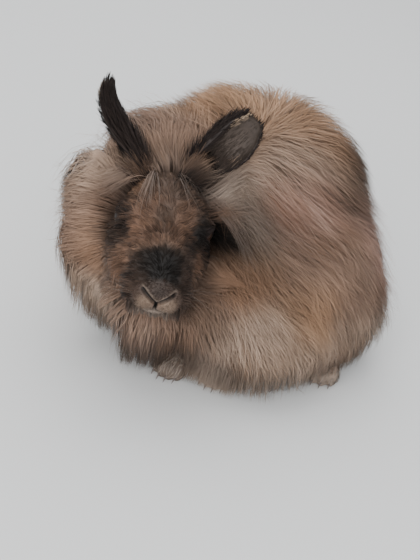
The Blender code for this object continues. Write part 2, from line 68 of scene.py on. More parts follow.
head_forms = {
    "cranium": ((0, 12, 6), (27, 36, 28)),
    "forehead": ((0, -8, 9), (21, 29, 20)),
    "face": ((0, -26, -4), (23, 33, 22)),
    "muzzle": ((0, -45, -11), (17.5, 19, 15)),
    "chin": ((0, -42, -28), (12, 15, 8)),
    "jaw": ((0, -12, -21), (20, 35, 16)),
    "left cheek": ((16, -2, -12), (18, 32, 22)),
    "right cheek": ((-16, -2, -12), (18, 32, 22)),
    "left pad": ((8.5, -50, -19.5), (11, 14, 10.5)),
    "right pad": ((-8.5, -50, -19.5), (11, 14, 10.5)),
    "left temple": ((17, -4, 8), (11, 24, 17)),
    "right temple": ((-17, -4, 8), (11, 24, 17)),
}
eye_place, eye_radius = np.array([23.5, -6.0, 8.0]), 9.0
# How deep the skin lies under the tips of the long coat, and under the plush of the face.
coat_depth, face_depth = 19.0, 1.6


def turning(axis, degrees):
    """The matrix that turns a point about one axis: cosines on the two other axes, sines across."""
    a, b = ((1, 2), (2, 0), (0, 1))[axis]
    cosine, sine = math.cos(math.radians(degrees)), math.sin(math.radians(degrees))
    matrix = np.eye(3)
    matrix[a, a] = matrix[b, b] = cosine
    matrix[a, b], matrix[b, a] = -sine, sine
    return matrix


head_axes = turning(2, head_turn) @ turning(0, head_dip) @ turning(1, head_tilt)


def in_head(points):
    """Places as the head has them: to its left, to its back and up from its middle."""
    return (points - head_place) @ head_axes


def from_head(points):
    """Places of the head as places of the whole rabbit."""
    return np.asarray(points) @ head_axes.T + head_place


def melted(points, forms, softness):
    """How far a place is outside a set of stretched balls. With q the place over a ball's radii and
    g the same over them again, one ball gives |q| (|q| - 1) / |g|, and the set gives the soft least
    of these, minus s times the log of the sum of exp(-d / s)."""
    total = 1e-30
    for centre, radii in forms:
        q = (points - np.array(centre)) / np.array(radii)
        size = np.linalg.norm(q, axis=-1)
        steep = np.linalg.norm(q / np.array(radii), axis=-1)
        apart = size * (size - 1) / np.maximum(steep, 1e-6)
        total = total + np.exp(-np.clip(apart, -90, 300) / softness)
    return -softness * np.log(total)


def joined(first, second, softness):
    """The soft least of two distances, found in the same way."""
    return -softness * np.log(np.exp(-first / softness) + np.exp(-second / softness))


def coat_tips(points):
    """How far a place is outside the tips of the long coat of body and mane."""
    body = melted(points + middle, body_forms.values(), 3.5)
    return joined(body, melted(in_head(points), mane_forms.values(), 3.5), 4.0)


def head_shape(points):
    """How far a place is outside the head, with the balls of the lids let into the temples."""
    local = in_head(points)
    lids = [(eye_place * (side, 1, 1), (eye_radius + 1.2,) * 3) for side in (1, -1)]
    return melted(local, list(head_forms.values()) + lids, 2.2)


def ball_grid(rows, columns, height=np.pi, turn=2 * np.pi):
    """The way down from pole to pole and the way round, for each point of a ball of rings."""
    return np.meshgrid(np.linspace(0, height, rows), np.arange(columns) / columns * turn, indexing="ij")


def skin_rings(field, centre, reach, rows, columns, stretch=(1, 1, 1), pole=2):
    """Rings of skin round a centre. A way out turns from one pole to the other and round it, and is
    stretched; the skin is the outermost place along it where the field is nought, found by 60 steps
    from outside and 14 halvings."""
    down, around = ball_grid(rows, columns)
    ways = np.stack([np.sin(down) * np.cos(around), np.sin(down) * np.sin(around), np.cos(down)], -1)
    ways = np.roll(ways, pole - 2, axis=-1) * np.array(stretch)
    ways /= np.linalg.norm(ways, axis=-1, keepdims=True)
    steps = np.linspace(reach, 0, 60)
    outside = np.stack([field(centre + ways * step) > 0 for step in steps], -1)
    first = np.argmax(~outside, -1)
    far, near = steps[np.maximum(first - 1, 0)], steps[first]
    for _ in range(14):
        half = (far + near) / 2
        out = field(centre + ways * half[..., None]) > 0
        far, near = np.where(out, half, far), np.where(out, near, half)
    return centre + ways * ((far + near) / 2)[..., None]


def cell_corners(a, b, c, d):
    """Two triangles for each cell, which has the points a and b over c and d."""
    return np.concatenate([np.stack([a, c, d], -1).reshape(-1, 3), np.stack([a, d, b], -1).reshape(-1, 3)])


def ball_corners(rows, columns):
    """Triangles over rings whose first and last ring are each one point: cells between the rings,
    and a fan at each pole. Points are numbered pole, rings, pole."""
    i, j = np.meshgrid(np.arange(rows - 3), np.arange(columns), indexing="ij")
    a, b = 1 + i * columns + j, 1 + i * columns + (j + 1) % columns
    cells = cell_corners(a, b, a + columns, b + columns)
    j = np.arange(columns)
    last = 1 + (rows - 3) * columns
    top = np.stack([0 * j, 1 + j, 1 + (j + 1) % columns], -1)
    bottom = np.stack([last + j, 0 * j + last + columns, last + (j + 1) % columns], -1)
    return np.concatenate([top, cells, bottom])


def ball_points(rings):
    """The rings of skin as one list of points, each pole once."""
    inner = rings[1:-1].reshape(-1, rings.shape[-1])
    return np.concatenate([rings[0, :1], inner, rings[-1, :1]])


def ball_map(rings, cell):
    """The unwrap of a ball of rings: the way round is across, the way down is up, in its own cell."""
    x0, y0, x1, y1 = cell
    down, around = ball_grid(*rings.shape[:2], 1, 1)
    return np.stack([x0 + (x1 - x0) * (0.02 + 0.96 * around), y0 + (y1 - y0) * (0.02 + 0.96 * down)], -1)


def merged(parts):
    """Several meshes as one: their rows of numbers follow one another, and corners count on."""
    starts = np.cumsum([0] + [len(part[0]) for part in parts[:-1]])
    corners = np.concatenate([part[1] + start for part, start in zip(parts, starts)])
    rest = [np.concatenate([part[k] for part in parts]) for k in range(2, len(parts[0]))]
    return [np.concatenate([part[0] for part in parts]), corners] + rest


def make_piece(name, slot, material, points, corners, marking, strand=None, unwrap=None, slope=None):
    """A mesh object from points in millimetres and rows of three corners, riding on the root."""
    mesh = bpy.data.meshes.new(name)
    mesh.vertices.add(len(points))
    mesh.vertices.foreach_set("co", (points / 1000).astype(np.float32).ravel())
    mesh.loops.add(corners.size)
    mesh.loops.foreach_set("vertex_index", corners.astype(np.int32).ravel())
    mesh.polygons.add(len(corners))
    mesh.polygons.foreach_set("loop_start", np.arange(0, corners.size, 3, dtype=np.int32))
    mesh.update(calc_edges=True)
    mesh.shade_smooth()
    for key, kind, field, values in (
        ("marking", "FLOAT_COLOR", "color", np.column_stack([marking, np.ones(len(points))])),
        ("strand", "FLOAT_VECTOR", "vector", strand),
        ("slope", "FLOAT_VECTOR", "vector", slope),
    ):
        if values is not None:
            made = mesh.attributes.new(key, kind, "POINT")
            made.data.foreach_set(field, values.astype(np.float32).ravel())
    if unwrap is not None:
        layer = mesh.uv_layers.new(name="OFBake")
        layer.data.foreach_set("uv", unwrap[corners.ravel()].astype(np.float32).ravel())
    mesh.materials.append(material)
    piece = bpy.data.objects.new(name, mesh)
    bpy.context.scene.collection.objects.link(piece)
    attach(piece, "root")
    return piece


# The markings, the same on skin and coat: a ginger back, a pinkish tan flank with darker streaks, a
# pale hem, and a dark mask round eyes, bridge and muzzle under an orange-brown forehead. Each mark is
# a soft cloud of colour: its place and spread in millimetres, its shade and its strength.
shades = {
    "soot": (19, 16, 14), "dark brown": (52, 42, 36), "umber": (66, 52, 44), "brown": (84, 67, 56),
    "chestnut": (106, 80, 64), "pale brown": (124, 101, 85), "warm tan": (142, 110, 87),
    "ash": (114, 101, 91), "silver": (146, 130, 117), "tan": (162, 132, 113), "ginger": (186, 146, 114),
    "fawn": (182, 155, 135), "cream": (206, 182, 163), "rose tan": (176, 140, 124),
}
# Where no mark reaches, this shade shows.
base_shade, base_strength = (140, 114, 96), 0.02
face_marks = {
    "crown": ((0, 2, 34), (14, 14, 9), "brown", 1.2),
    "right crown": ((-19, 10, 27), (8, 10, 9), "warm tan", 1.0),
    "left crown": ((18, 10, 27), (8, 10, 9), "brown", 1.2),
    "forehead left": ((13, -19, 24), (8, 10, 8), "chestnut", 1.3),
    "forehead right": ((-13, -13, 26), (8, 10, 8), "chestnut", 1.3),
    "right brow": ((-21, -23, 17), (7, 9, 8), "chestnut", 1.3),
    "right bridge top": ((-19, -32, 9), (6, 7, 7), "chestnut", 1.2),
    "left brow": ((9, -35, 17), (7, 7, 6), "chestnut", 1.4),
    "frown": ((-9, -38, 15), (5, 7, 6), "chestnut", 1.2),
    "forehead parting": ((-3, -25, 25), (5, 12, 7), "brown", 1.0),
    "bridge": ((0, -53, 2), (15, 7, 7), "soot", 2.2),
    "bridge middle": ((3, -58, -1), (11, 5, 7), "soot", 2.8),
    "nose tip": ((0, -63, -11), (8, 6, 5), "umber", 1.6),
    "left bridge side": ((15, -50, -2), (6, 8, 8), "umber", 1.4),
    "right bridge side": ((-14, -56, -6), (6, 8, 8), "dark brown", 1.4),
    "left muzzle": ((18, -54, -20), (6, 12, 12), "umber", 2.4),
    "right muzzle": ((-18, -54, -18), (7, 12, 12), "umber", 2.4),
    "left eye": ((24, -21, 12), (7, 11, 8), "soot", 4.0),
    "left eye corner": ((16, -37, 11), (5, 7, 6), "dark brown", 1.4),
    "left eyelid": ((25, -15, 19), (6, 9, 6), "dark brown", 1.8),
    "right eye": ((-29, -15, 9), (6, 12, 10), "dark brown", 3.0),
    "left cheek": ((26, -26, -3), (7, 10, 7), "chestnut", 1.6),
    "left under cheek": ((26, -22, -16), (9, 12, 9), "brown", 1.2),
    "right cheek": ((-24, -30, -16), (9, 12, 11), "chestnut", 1.3),
    "chin": ((0, -52, -36), (16, 14, 7), "ash", 1.4),
    "throat": ((0, -12, -42), (26, 24, 12), "chestnut", 1.0),
}
mane_marks = {
    # Painted shade: a near black wedge for the shadow in the hollow round the open left eye.
    "painted shade in left eye hollow": ((39, 2, -2), (14, 18, 6), "soot", 24.0),
    "behind left eye": ((48, -3, 5), (7, 9, 7), "dark brown", 2.2),
    "under left eye": ((46, -7, -9), (8, 10, 7), "umber", 2.2),
    "left cheek fur": ((36, -13, -28), (8, 10, 8), "brown", 1.8),
    "left muzzle shade": ((26, -24, -41), (6, 10, 11), "dark brown", 2.6),
    "over left eye": ((33, 6, 16), (12, 9, 6), "chestnut", 5.0),
    "left cheek glow": ((50, 0, -24), (7, 12, 8), "warm tan", 1.6),
    "grey swathe": ((46, 22, 26), (16, 14, 16), "silver", 1.2),
    "grey swathe end": ((66, 2, 6), (14, 14, 18), "ash", 1.0),
    "left mane": ((60, 0, -22), (20, 18, 20), "warm tan", 1.3),
    "left beard": ((44, -8, -34), (14, 12, 14), "tan", 1.0),
    "left beard shade": ((44, -20, -52), (14, 12, 12), "pale brown", 1.0),
    "beard": ((0, -16, -62), (26, 18, 24), "tan", 1.3),
    "beard shade": ((-20, -10, -44), (16, 14, 10), "pale brown", 1.4),
    # Partly the darker hair of the beard's lower fringe, partly painted shade between the beard and the
    # forepaws.
    "beard fringe and shade under it": ((22, -4, -98), (24, 20, 12), "umber", 1.0),
    "right face edge": ((-28, 2, 0), (7, 14, 14), "umber", 2.6),
    "right temple": ((-38, 9, 8), (9, 12, 10), "chestnut", 2.0),
    "right warm": ((-44, 12, -30), (14, 16, 20), "warm tan", 1.6),
    "right mane": ((-62, 24, -30), (18, 22, 34), "tan", 1.6),
    "right mane top": ((-54, 40, 18), (22, 20, 24), "fawn", 1.6),
    "right hem": ((-48, 26, -70), (24, 26, 20), "cream", 1.6),
    "right ear root": ((-26, 34, 34), (9, 12, 9), "umber", 2.4),
    "left ear root": ((26, 34, 34), (9, 10, 9), "umber", 2.4),
    "between ears": ((0, 38, 40), (12, 14, 14), "pale brown", 1.4),
    "nape": ((-10, 66, 56), (30, 18, 22), "tan", 1.6),
}
body_marks = {
    "back": ((-30, 40, 168), (44, 44, 26), "ginger", 1.6),
    "back ridge": ((0, 60, 166), (34, 40, 24), "ginger", 1.4),
    "shoulder tan": ((30, 4, 150), (24, 24, 20), "fawn", 1.3),
    "pink flank": ((46, -8, 128), (22, 22, 22), "rose tan", 1.3),
    "side tan": ((70, -18, 96), (26, 20, 26), "tan", 1.2),
    "ginger streak": ((36, 48, 150), (16, 22, 16), "warm tan", 1.6),
    "brown streak": ((58, 60, 122), (16, 26, 22), "pale brown", 2.0),
    "outer streak": ((88, 60, 92), (20, 26, 24), "rose tan", 1.6),
    "low flank": ((92, 0, 70), (20, 22, 18), "tan", 1.2),
    "warm low flank": ((84, -30, 66), (16, 18, 18), "ginger", 1.2),
    "front hem": ((70, -62, 48), (24, 20, 18), "fawn", 1.4),
    "hem": ((98, -10, 34), (22, 26, 18), "fawn", 1.2),
    "haunch hem": ((100, 40, 26), (20, 30, 16), "silver", 1.2),
    "rear": ((-20, 120, 80), (80, 36, 60), "tan", 0.8),
    "right flank": ((-90, 20, 90), (30, 60, 50), "tan", 0.8),
    "underside": ((-10, 20, 4), (100, 120, 16), "silver", 1.4),
}


def linear(colour):
    """Light from a screen colour of 0 to 255: a straight foot, then a power of 2.4."""
    share = np.asarray(colour, float) / 255
    return np.where(share < 0.04045, share / 12.92, ((share + 0.055) / 1.055) ** 2.4)


def drift(points, scale, seed):
    """A soft random swell between about -1 and 1: ten sine waves in random ways, each 0.6 to 1.3
    times the scale long, added up and divided by four."""
    rng = np.random.default_rng(seed)
    ways = rng.normal(size=(10, 3))
    ways /= np.linalg.norm(ways, axis=1, keepdims=True)
    pace = 2 * np.pi / (scale * rng.uniform(0.6, 1.3, 10))
    return np.sin((points @ ways.T) * pace + rng.uniform(0, 6.28, 10)).sum(-1) / 4.0


def markings(points):
    """The colour of skin and hair at a place: a mean of the marks' colours, each weighed by its
    strength times exp(-1.2 q²), with q the place over the mark's spread. It is then made a little
    stronger and swells slowly from light to dark."""
    places = points.reshape(-1, 3)
    local = in_head(places)
    total = np.full(len(places), base_strength)
    colour = np.full((len(places), 3), base_strength) * linear(base_shade)
    for table, table_places in ((face_marks, local), (mane_marks, local), (body_marks, places)):
        for centre, spread, shade, strength in table.values():
            q = (table_places - np.array(centre)) / np.array(spread)
            weight = strength * np.exp(-1.2 * (q ** 2).sum(-1))
            total += weight
            colour += weight[:, None] * linear(shades[shade])
    colour = colour / total[:, None]
    grey = colour.mean(1, keepdims=True)
    swell = 1 + 0.16 * drift(places, 46, 3) + 0.10 * drift(places, 17, 4)
    colour = np.clip(grey + (colour - grey) * 1.05, 0.004, 1) * swell[:, None]
    return colour.reshape(points.shape)


def node_group(name, inputs, outputs):
    """A shader node group with named sockets: each is its name, its kind and its usual value."""
    group = bpy.data.node_groups.new(name, "ShaderNodeTree")
    for socket, kind, value in inputs:
        made = group.interface.new_socket(socket, in_out="INPUT", socket_type=kind)
        if value is not None:
            made.default_value = value
    for socket, kind in outputs:
        group.interface.new_socket(socket, in_out="OUTPUT", socket_type=kind)
    return group, group.nodes.new("NodeGroupInput"), group.nodes.new("NodeGroupOutput")


def wired(tree, kind, settings=None, **inputs):
    """A new node with its settings made and its inputs set or linked, each by its name, or by an n
    and its number."""
    node = tree.nodes.new(kind)
    for key, value in (settings or {}).items():
        setattr(node, key, value)
    for key, value in inputs.items():
        numbered = key[0] == "n" and key[1:].isdigit()
        socket = node.inputs[int(key[1:]) if numbered else key.replace("_", " ")]
        if isinstance(value, bpy.types.NodeSocket):
            tree.links.new(value, socket)
        else:
            socket.default_value = value
    return node


def sum_node(tree, operation, *values):
    """One step of sums on numbers."""
    inputs = {f"n{i}": value for i, value in enumerate(values)}
    return wired(tree, "ShaderNodeMath", {"operation": operation}, **inputs).outputs[0]


def scaled(tree, colour, light):
    """A colour times a number."""
    return wired(tree, "ShaderNodeVectorMath", {"operation": "SCALE"}, n0=colour, Scale=light).outputs[0]


def attribute(tree, name, output="Vector"):
    """What a mesh carries at each of its points under a name."""
    return wired(tree, "ShaderNodeAttribute", {"attribute_name": name}).outputs[output]


def new_material(name, **values):
    """A material with its tree and the inputs of its surface, some of them set by name."""
    material = bpy.data.materials.new(name)
    material.use_nodes = True
    surface = material.node_tree.nodes["Principled BSDF"].inputs
    for key, value in values.items():
        surface[key.replace("_", " ")].default_value = value
    return material, material.node_tree, surface


# Hair colour: a strand is darker and greyer at its root, truest in its middle and paler at its tip,
# and each strand and each lock is a little lighter or darker than the next.
hair_group, hair_in, hair_out = node_group(
    "hair_colour",
    [
        ("Marking", "NodeSocketColor", None),
        ("Strand", "NodeSocketVector", None),
        ("Root Dark", "NodeSocketFloat", 0.5),
        ("Variation", "NodeSocketFloat", 0.3),
        ("Tip Pale", "NodeSocketFloat", 0.3),
    ],
    [("Colour", "NodeSocketColor"), ("Roughness", "NodeSocketFloat")],
)
hair_sum = partial(sum_node, hair_group)
share, own, lock = wired(hair_group, "ShaderNodeSeparateXYZ", n0=hair_in.outputs["Strand"]).outputs
rootward = hair_sum("POWER", hair_sum("SUBTRACT", 1.0, share), 1.6)
root_dark = hair_sum("MULTIPLY", rootward, hair_in.outputs["Root Dark"])
tip_pale = hair_sum("MULTIPLY", hair_sum("POWER", share, 2.5), hair_in.outputs["Tip Pale"])
uneven = hair_sum("MULTIPLY", hair_sum("ADD", own, lock), hair_in.outputs["Variation"])
light = hair_sum("ADD", hair_sum("ADD", 1.0, uneven), tip_pale)
light = hair_sum("SUBTRACT", light, root_dark)
grey = wired(hair_group, "ShaderNodeHueSaturation", Color=hair_in.outputs["Marking"], Saturation=0.72)
greyed = wired(
    hair_group, "ShaderNodeMix", {"data_type": "RGBA"},
    n0=hair_sum("MULTIPLY", rootward, 0.7), n6=hair_in.outputs["Marking"], n7=grey.outputs[0],
)
hair_group.links.new(scaled(hair_group, greyed.outputs[2], light), hair_out.inputs["Colour"])
gloss = hair_sum("ADD", 0.62, hair_sum("MULTIPLY", own, 0.10))
hair_group.links.new(gloss, hair_out.inputs["Roughness"])

# Fine hair scatters light so much that a tuft is lit like the coat round it: its normal leans from the
# blade's own to the slope of the coat.
soft_group, soft_in, soft_out = node_group(
    "soft_normal",
    [
        ("Normal", "NodeSocketVector", None),
        ("Slope", "NodeSocketVector", None),
        ("Softness", "NodeSocketFloat", 0.7),
    ],
    [("Normal", "NodeSocketVector")],
)
leaning = wired(
    soft_group, "ShaderNodeMix", {"data_type": "VECTOR"},
    n0=soft_in.outputs["Softness"], n4=soft_in.outputs["Normal"], n5=soft_in.outputs["Slope"],
)
leaned = wired(soft_group, "ShaderNodeVectorMath", {"operation": "NORMALIZE"}, n0=leaning.outputs[1])
soft_group.links.new(leaned.outputs[0], soft_out.inputs["Normal"])


def hair_material(name, root_dark, variation, tip_pale, sheen, softness):
    """Hair: colour from the markings by the group above, half dull, with a faint sheen."""
    material, tree, surface = new_material(
        name, Specular_IOR_Level=0.08, Sheen_Weight=sheen, Sheen_Roughness=0.5
    )
    hair = wired(
        tree, "ShaderNodeGroup", {"node_tree": hair_group}, Marking=attribute(tree, "marking", "Color"),
        Strand=attribute(tree, "strand"), Root_Dark=root_dark, Variation=variation, Tip_Pale=tip_pale,
    )
    soft = wired(
        tree, "ShaderNodeGroup", {"node_tree": soft_group}, Slope=attribute(tree, "slope"),
        Normal=wired(tree, "ShaderNodeNewGeometry").outputs["Normal"], Softness=softness,
    )
    tree.links.new(hair.outputs["Colour"], surface["Base Color"])
    tree.links.new(hair.outputs["Roughness"], surface["Roughness"])
    tree.links.new(soft.outputs[0], surface["Normal"])
    return material


def mottled(name, grain, **values):
    """A material whose colour is the marking, with the noise that makes it uneven."""
    material, tree, surface = new_material(name, **values)
    place = wired(tree, "ShaderNodeTexCoord").outputs["Object"]
    return material, tree, surface, wired(tree, "ShaderNodeTexNoise", Vector=place, Scale=grain)


def soft_skin(name, grain, depth, roughness, specular=0.3):
    """Skin or velvet: the marking's colour, mottled by a noise in the object's place, with a bump."""
    material, tree, surface, noise = mottled(
        name, grain, Roughness=roughness, Specular_IOR_Level=specular
    )
    noise.inputs["Detail"].default_value, noise.inputs["Roughness"].default_value = 4.0, 0.65
    light = sum_node(tree, "ADD", 0.65, sum_node(tree, "MULTIPLY", noise.outputs[0], 0.7))
    bump = wired(tree, "ShaderNodeBump", Strength=0.5, Distance=depth, Height=noise.outputs[0])
    tree.links.new(scaled(tree, attribute(tree, "marking", "Color"), light), surface["Base Color"])
    tree.links.new(bump.outputs[0], surface["Normal"])
    return material


# The skin itself, one piece over body, head, legs and tail, as no seam shows on the animal. Legs are
# a forearm, wrist and paw in front and a long sole with its ankle behind, each with a row of four toes.
body_centre = np.array([-10.0, 16.0, 76.0]) - middle
forepaws = {"left": ((28, -40), 12), "right": ((0, -54), 6)}
hind_feet = {"left": ((68, 88), (84, 10)), "right": ((-88, 88), (-104, 10))}
tail_form = ((-22, 136, 60), (21, 24, 27))
tail_middle, tail_depth = np.array(tail_form[0]) - middle, 9.0
cells = {
    "body": (0, 0.42, 1, 1), "head": (0, 0, 0.48, 0.40), "tail": (0.5, 0.22, 0.72, 0.40),
    "foreleg_left": (0.5, 0, 0.61, 0.2), "foreleg_right": (0.62, 0, 0.73, 0.2),
    "hindleg_left": (0.74, 0, 0.86, 0.4), "hindleg_right": (0.87, 0, 1, 0.4),
}


def toe_row(front, width, length, height):
    """Four toes across a foot: places along a slight bow, and their radii."""
    across = (np.arange(4) - 1.5) / 4
    return [
        ((a * width, front - length * (0.5 - abs(a) * 0.45), height * 0.45),
         (width / 4 * 0.62, length * 0.28, height * 0.55))
        for a in across
    ]


def foot_axes(side, hind):
    """Where a foot's middle is on the floor and how its own axes are turned."""
    if not hind:
        (x, y), turn = forepaws[side]
        return np.array([x, y, 0.0]) - middle, turning(2, turn)
    heel, toe = (np.array([*end, 0.0]) for end in hind_feet[side])
    turn = math.degrees(math.atan2(heel[1] - toe[1], heel[0] - toe[0])) - 90
    return (heel + toe) / 2 - middle, turning(2, turn)


fore_forms = [((0, 12, 25), (10, 12, 25)), ((0, 4, 12), (10, 13.5, 12)), ((0, -6, 7), (10.5, 14.5, 8.5))]
fore_forms += toe_row(-4, 22, 26, 12)
hind_forms = [((0, 0, 8), (10.5, 41, 9.5)), ((0, 20, 12), (10.5, 17.5, 13.5))]
hind_forms += toe_row(-31, 25, 30, 13)


def foot_field(side, hind):
    """The field of one foot, cut off flat at the floor."""
    place, axes = foot_axes(side, hind)
    forms = hind_forms if hind else fore_forms
    return lambda points: np.maximum(melted((points - place) @ axes, forms, 1.2), -points[..., 2] + 0.2)


def ramp(values, nought, one):
    """A share that is 0 at one value and 1 at another, straight between them and flat beyond."""
    return np.clip((values - nought) / (one - nought), 0, 1)


def eye_hollow(points):
    """How deep the skin dips behind each eye: 5 mm inside the almond of the lids, easing at its edge."""
    local = in_head(points)
    reach = ((local[..., 1] - eye_place[1]) / 8.6) ** 2 + ((local[..., 2] - eye_place[2]) / 6.8) ** 2
    return 5.0 * np.clip(1.5 - reach, 0, 1) * (np.abs(local[..., 0]) > 18)


def from_nose(local):
    """How far a place of the head is from the middle of the nose, counted a little longer up and
    down."""
    return np.linalg.norm((local - np.array([0, -62, -19])) / np.array([1.0, 1.0, 0.9]), axis=-1)


def nose_hollow(points):
    """How deep the skin dips under the nose patch, so that the patch's grooves stay open."""
    return 3.5 * ramp(from_nose(in_head(points)), 15, 12)


def tail_field(points):
    """How far a place is outside the tips of the tail."""
    return melted(points + middle, [tail_form], 2)


rings = {
    "body": skin_rings(
        lambda p: np.maximum(coat_tips(p) + coat_depth, 4 - p[..., 2]), body_centre, 190, 130, 200
    ),
    "head": skin_rings(
        lambda p: head_shape(p) + face_depth + eye_hollow(p) + nose_hollow(p),
        from_head((0, -12, 0)), 90, 150, 220, (0.7, 1.3, 0.8), 1,
    ),
    "tail": skin_rings(lambda p: tail_field(p) + tail_depth, tail_middle, 40, 24, 36),
}
for side in ("left", "right"):
    for hind, height, columns, stretch in ((False, 14, 90, (1, 1, 1)), (True, 9, 110, (1, 3, 1))):
        centre = foot_axes(side, hind)[0] + np.array([0, 0, height])
        grid = skin_rings(foot_field(side, hind), centre, 60, 70, columns, stretch)
        rings[("hindleg_" if hind else "foreleg_") + side] = grid

skin_parts = []
for part, grid in rings.items():
    points = ball_points(grid)
    unwrap = ball_points(ball_map(grid, cells[part]))
    skin_parts.append([points, ball_corners(*grid.shape[:2]), markings(points) * 0.8, unwrap])
points, corners, paint, unwrap = merged(skin_parts)
skin_material = soft_skin("rabbit_skin", 900, 0.0004, 0.7)
skin = make_piece("skin", "coat_fur", skin_material, points, corners, paint, unwrap=unwrap)
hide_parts("head", "neck", "torso", "tail", "foreleg_left", "foreleg_right", "hindleg_left", "hindleg_right")

# Eyes: a wet ball almost all dark iris, set in the temple, with a thick soft lid that closes round it
# in an almond and a pink-brown inner edge.
eye_material, tree, surface, fleck = mottled(
    "wet_eye", 1400.0, Roughness=0.3, Specular_IOR_Level=0.25, Coat_Weight=0.1, Coat_Roughness=0.05
)
light = sum_node(tree, "ADD", 0.6, fleck.outputs[0])
tree.links.new(scaled(tree, attribute(tree, "marking", "Color"), light), surface["Base Color"])
lid_material = soft_skin("lid_skin", 2500, 0.0002, 0.6, 0.1)
eye_rows, eye_columns, lid_columns = 40, 56, 72
# The lid's section: how far out along the almond it is, and how far from the middle of the ball.
lid_profile = np.array([
    (0.97, 8.3), (0.99, 9.15), (1.04, 9.9), (1.14, 10.3), (1.32, 10.35), (1.5, 9.6), (1.4, 8.2), (1.15, 7.8)
])


def ring_corners(rows, columns, flip=False):
    """Triangles over a tube that closes both ways: its profile of rows and its way round."""
    i, j = np.meshgrid(np.arange(rows), np.arange(columns), indexing="ij")
    this, next_row, beside = i * columns, (i + 1) % rows * columns, (j + 1) % columns
    found = cell_corners(this + j, this + beside, next_row + j, next_row + beside)
    return found[:, ::-1] if flip else found


def blend(first, second, share):
    """One value at a share of 0, another at 1, and their mean by share between."""
    return first * (1 - share) + second * share


down, around = ball_grid(eye_rows, eye_columns)
ball = np.stack([np.cos(down), np.sin(down) * np.cos(around), np.sin(down) * np.sin(around)], -1)
turn = np.arange(lid_columns) / lid_columns * 2 * np.pi
almond_long = 7.6 * np.cos(turn) * (1 + 0.10 * np.cos(turn) ** 6)
almond_high = 4.5 * np.sin(turn) - 0.8 * np.sin(turn) ** 2
flat = np.stack([almond_long, almond_high], -1)[None] * lid_profile[:, :1, None]
deep = np.sqrt(np.maximum(lid_profile[:, 1:] ** 2 - (flat ** 2).sum(-1), 0.5))
edge = np.clip(1 - np.abs(lid_profile[:, 0] - 1.0) * 9, 0, 1)[:, None, None]
lid_paint = blend(linear((30, 23, 21)), linear((70, 48, 42)), edge) + np.zeros((*deep.shape, 1))
for side, sign in (("left", 1), ("right", -1)):
    centre = eye_place * (sign, 1, 1)
    bulge = 1 + 0.05 * ramp(ball[..., :1] * sign, 0.75, 1)
    local = ball_points(centre + ball * (eye_radius - 0.15) * bulge)
    pupil = ramp((local[:, 0] - centre[0]) * sign / eye_radius, 0.86, 0.92)[:, None]
    paint = blend(linear((38, 26, 20)), linear((8, 7, 8)), pupil)
    eye = make_piece(
        "eyeball_" + side, "wet_eye", eye_material, from_head(local),
        ball_corners(eye_rows, eye_columns), paint,
    )
    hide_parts("eye_" + side)
    lid = centre + np.stack([deep * sign, flat[..., 0], flat[..., 1]], -1)
    corners = ring_corners(len(lid_profile), lid_columns, sign < 0)
    make_piece(
        "lid_" + side, "face_fur", lid_material, from_head(lid.reshape(-1, 3)), corners,
        lid_paint.reshape(-1, 3),
    )

# Nose and lips: velvety tan pads with two slanted nostril slits that run together in a V, the cleft
# under them and the line of the mouth. The patch is the head's own form again, cut with fine grooves.
# Each groove has its two ends, seen from the front, its depth and its width.
nose_grooves = (
    ((0.8, -20.5), (9.8, -12.5), 2.6, 0.95), ((-0.8, -20.5), (-9.8, -12.5), 2.6, 0.95),
    ((0.0, -20.5), (0.0, -27.0), 2.2, 1.0), ((0.0, -27.0), (8.0, -28.6), 1.7, 0.8),
    ((8.0, -28.6), (15.0, -29.4), 1.5, 0.7), ((0.0, -27.0), (-8.0, -28.6), 1.7, 0.7),
    ((-8.0, -28.6), (-15.0, -29.4), 1.5, 0.7),
)


def groove_depth(local, widen=1.0):
    """The depth of the grooves at a place of the face: for each groove, its depth times exp(-(d/w)²),
    with d the distance to its line seen from the front."""
    flat = np.stack([local[..., 0], local[..., 2]], -1)
    depth = np.zeros(flat.shape[:-1])
    for start, end, deep, width in nose_grooves:
        start, way = np.array(start), np.array(end) - np.array(start)
        share = np.clip(((flat - start) @ way) / (way @ way), 0, 1)
        apart = np.linalg.norm(flat - start - share[..., None] * way, axis=-1)
        depth = np.maximum(depth, deep * np.exp(-((apart / (width * widen)) ** 2)))
    return depth * (local[..., 1] < -44)


def nose_field(points):
    """The head's form, 0.6 mm over the skin round the nose and sinking under it beyond, with the
    grooves cut in and a low rim raised along them."""
    local = in_head(points)
    rim = 0.5 * groove_depth(local, 2.6) - 0.3 * groove_depth(local, 1.6)
    sinking = np.clip((from_nose(local) - 15) * 0.35, 0, 4)
    return head_shape(points) + face_depth - 0.6 + sinking + groove_depth(local) - rim * 0.6


def nose_paint(points):
    """Tan pads, a darker tip, paler rims over the slits, a whitish lip line and painted shade in the
    grooves.
    """
    local = in_head(points)
    x, z = np.abs(local[:, :1]), local[:, 2:]
    pad = np.exp(-(((x - 7.4) / 4.8) ** 4) - (((z + 21) / 5.2) ** 4))
    tip = np.exp(-((x / 8) ** 2) - (((z + 12) / 6.0) ** 2))
    rim = np.clip(groove_depth(local - np.array([0, 0, 2.1])) / 1.8, 0, 1)[:, None] * (z > -22)
    lip = np.exp(-(((z + 27.2 + 0.1 * x) / 0.9) ** 2)) * (x < 14)
    paint = blend(markings(points), linear((60, 50, 45)), tip)
    paint = blend(paint, linear((116, 97, 82)), pad)
    paint = blend(paint, linear((116, 101, 89)), 0.6 * rim)
    paint = blend(paint, linear((190, 174, 162)), 0.8 * lip)
    # Painted shade: the nostril slits, the cleft and the mouth line are painted near black, darkest where
    # the grooves are deepest.
    return blend(paint, linear((16, 11, 10)), np.clip(groove_depth(local), 0, 1)[:, None])


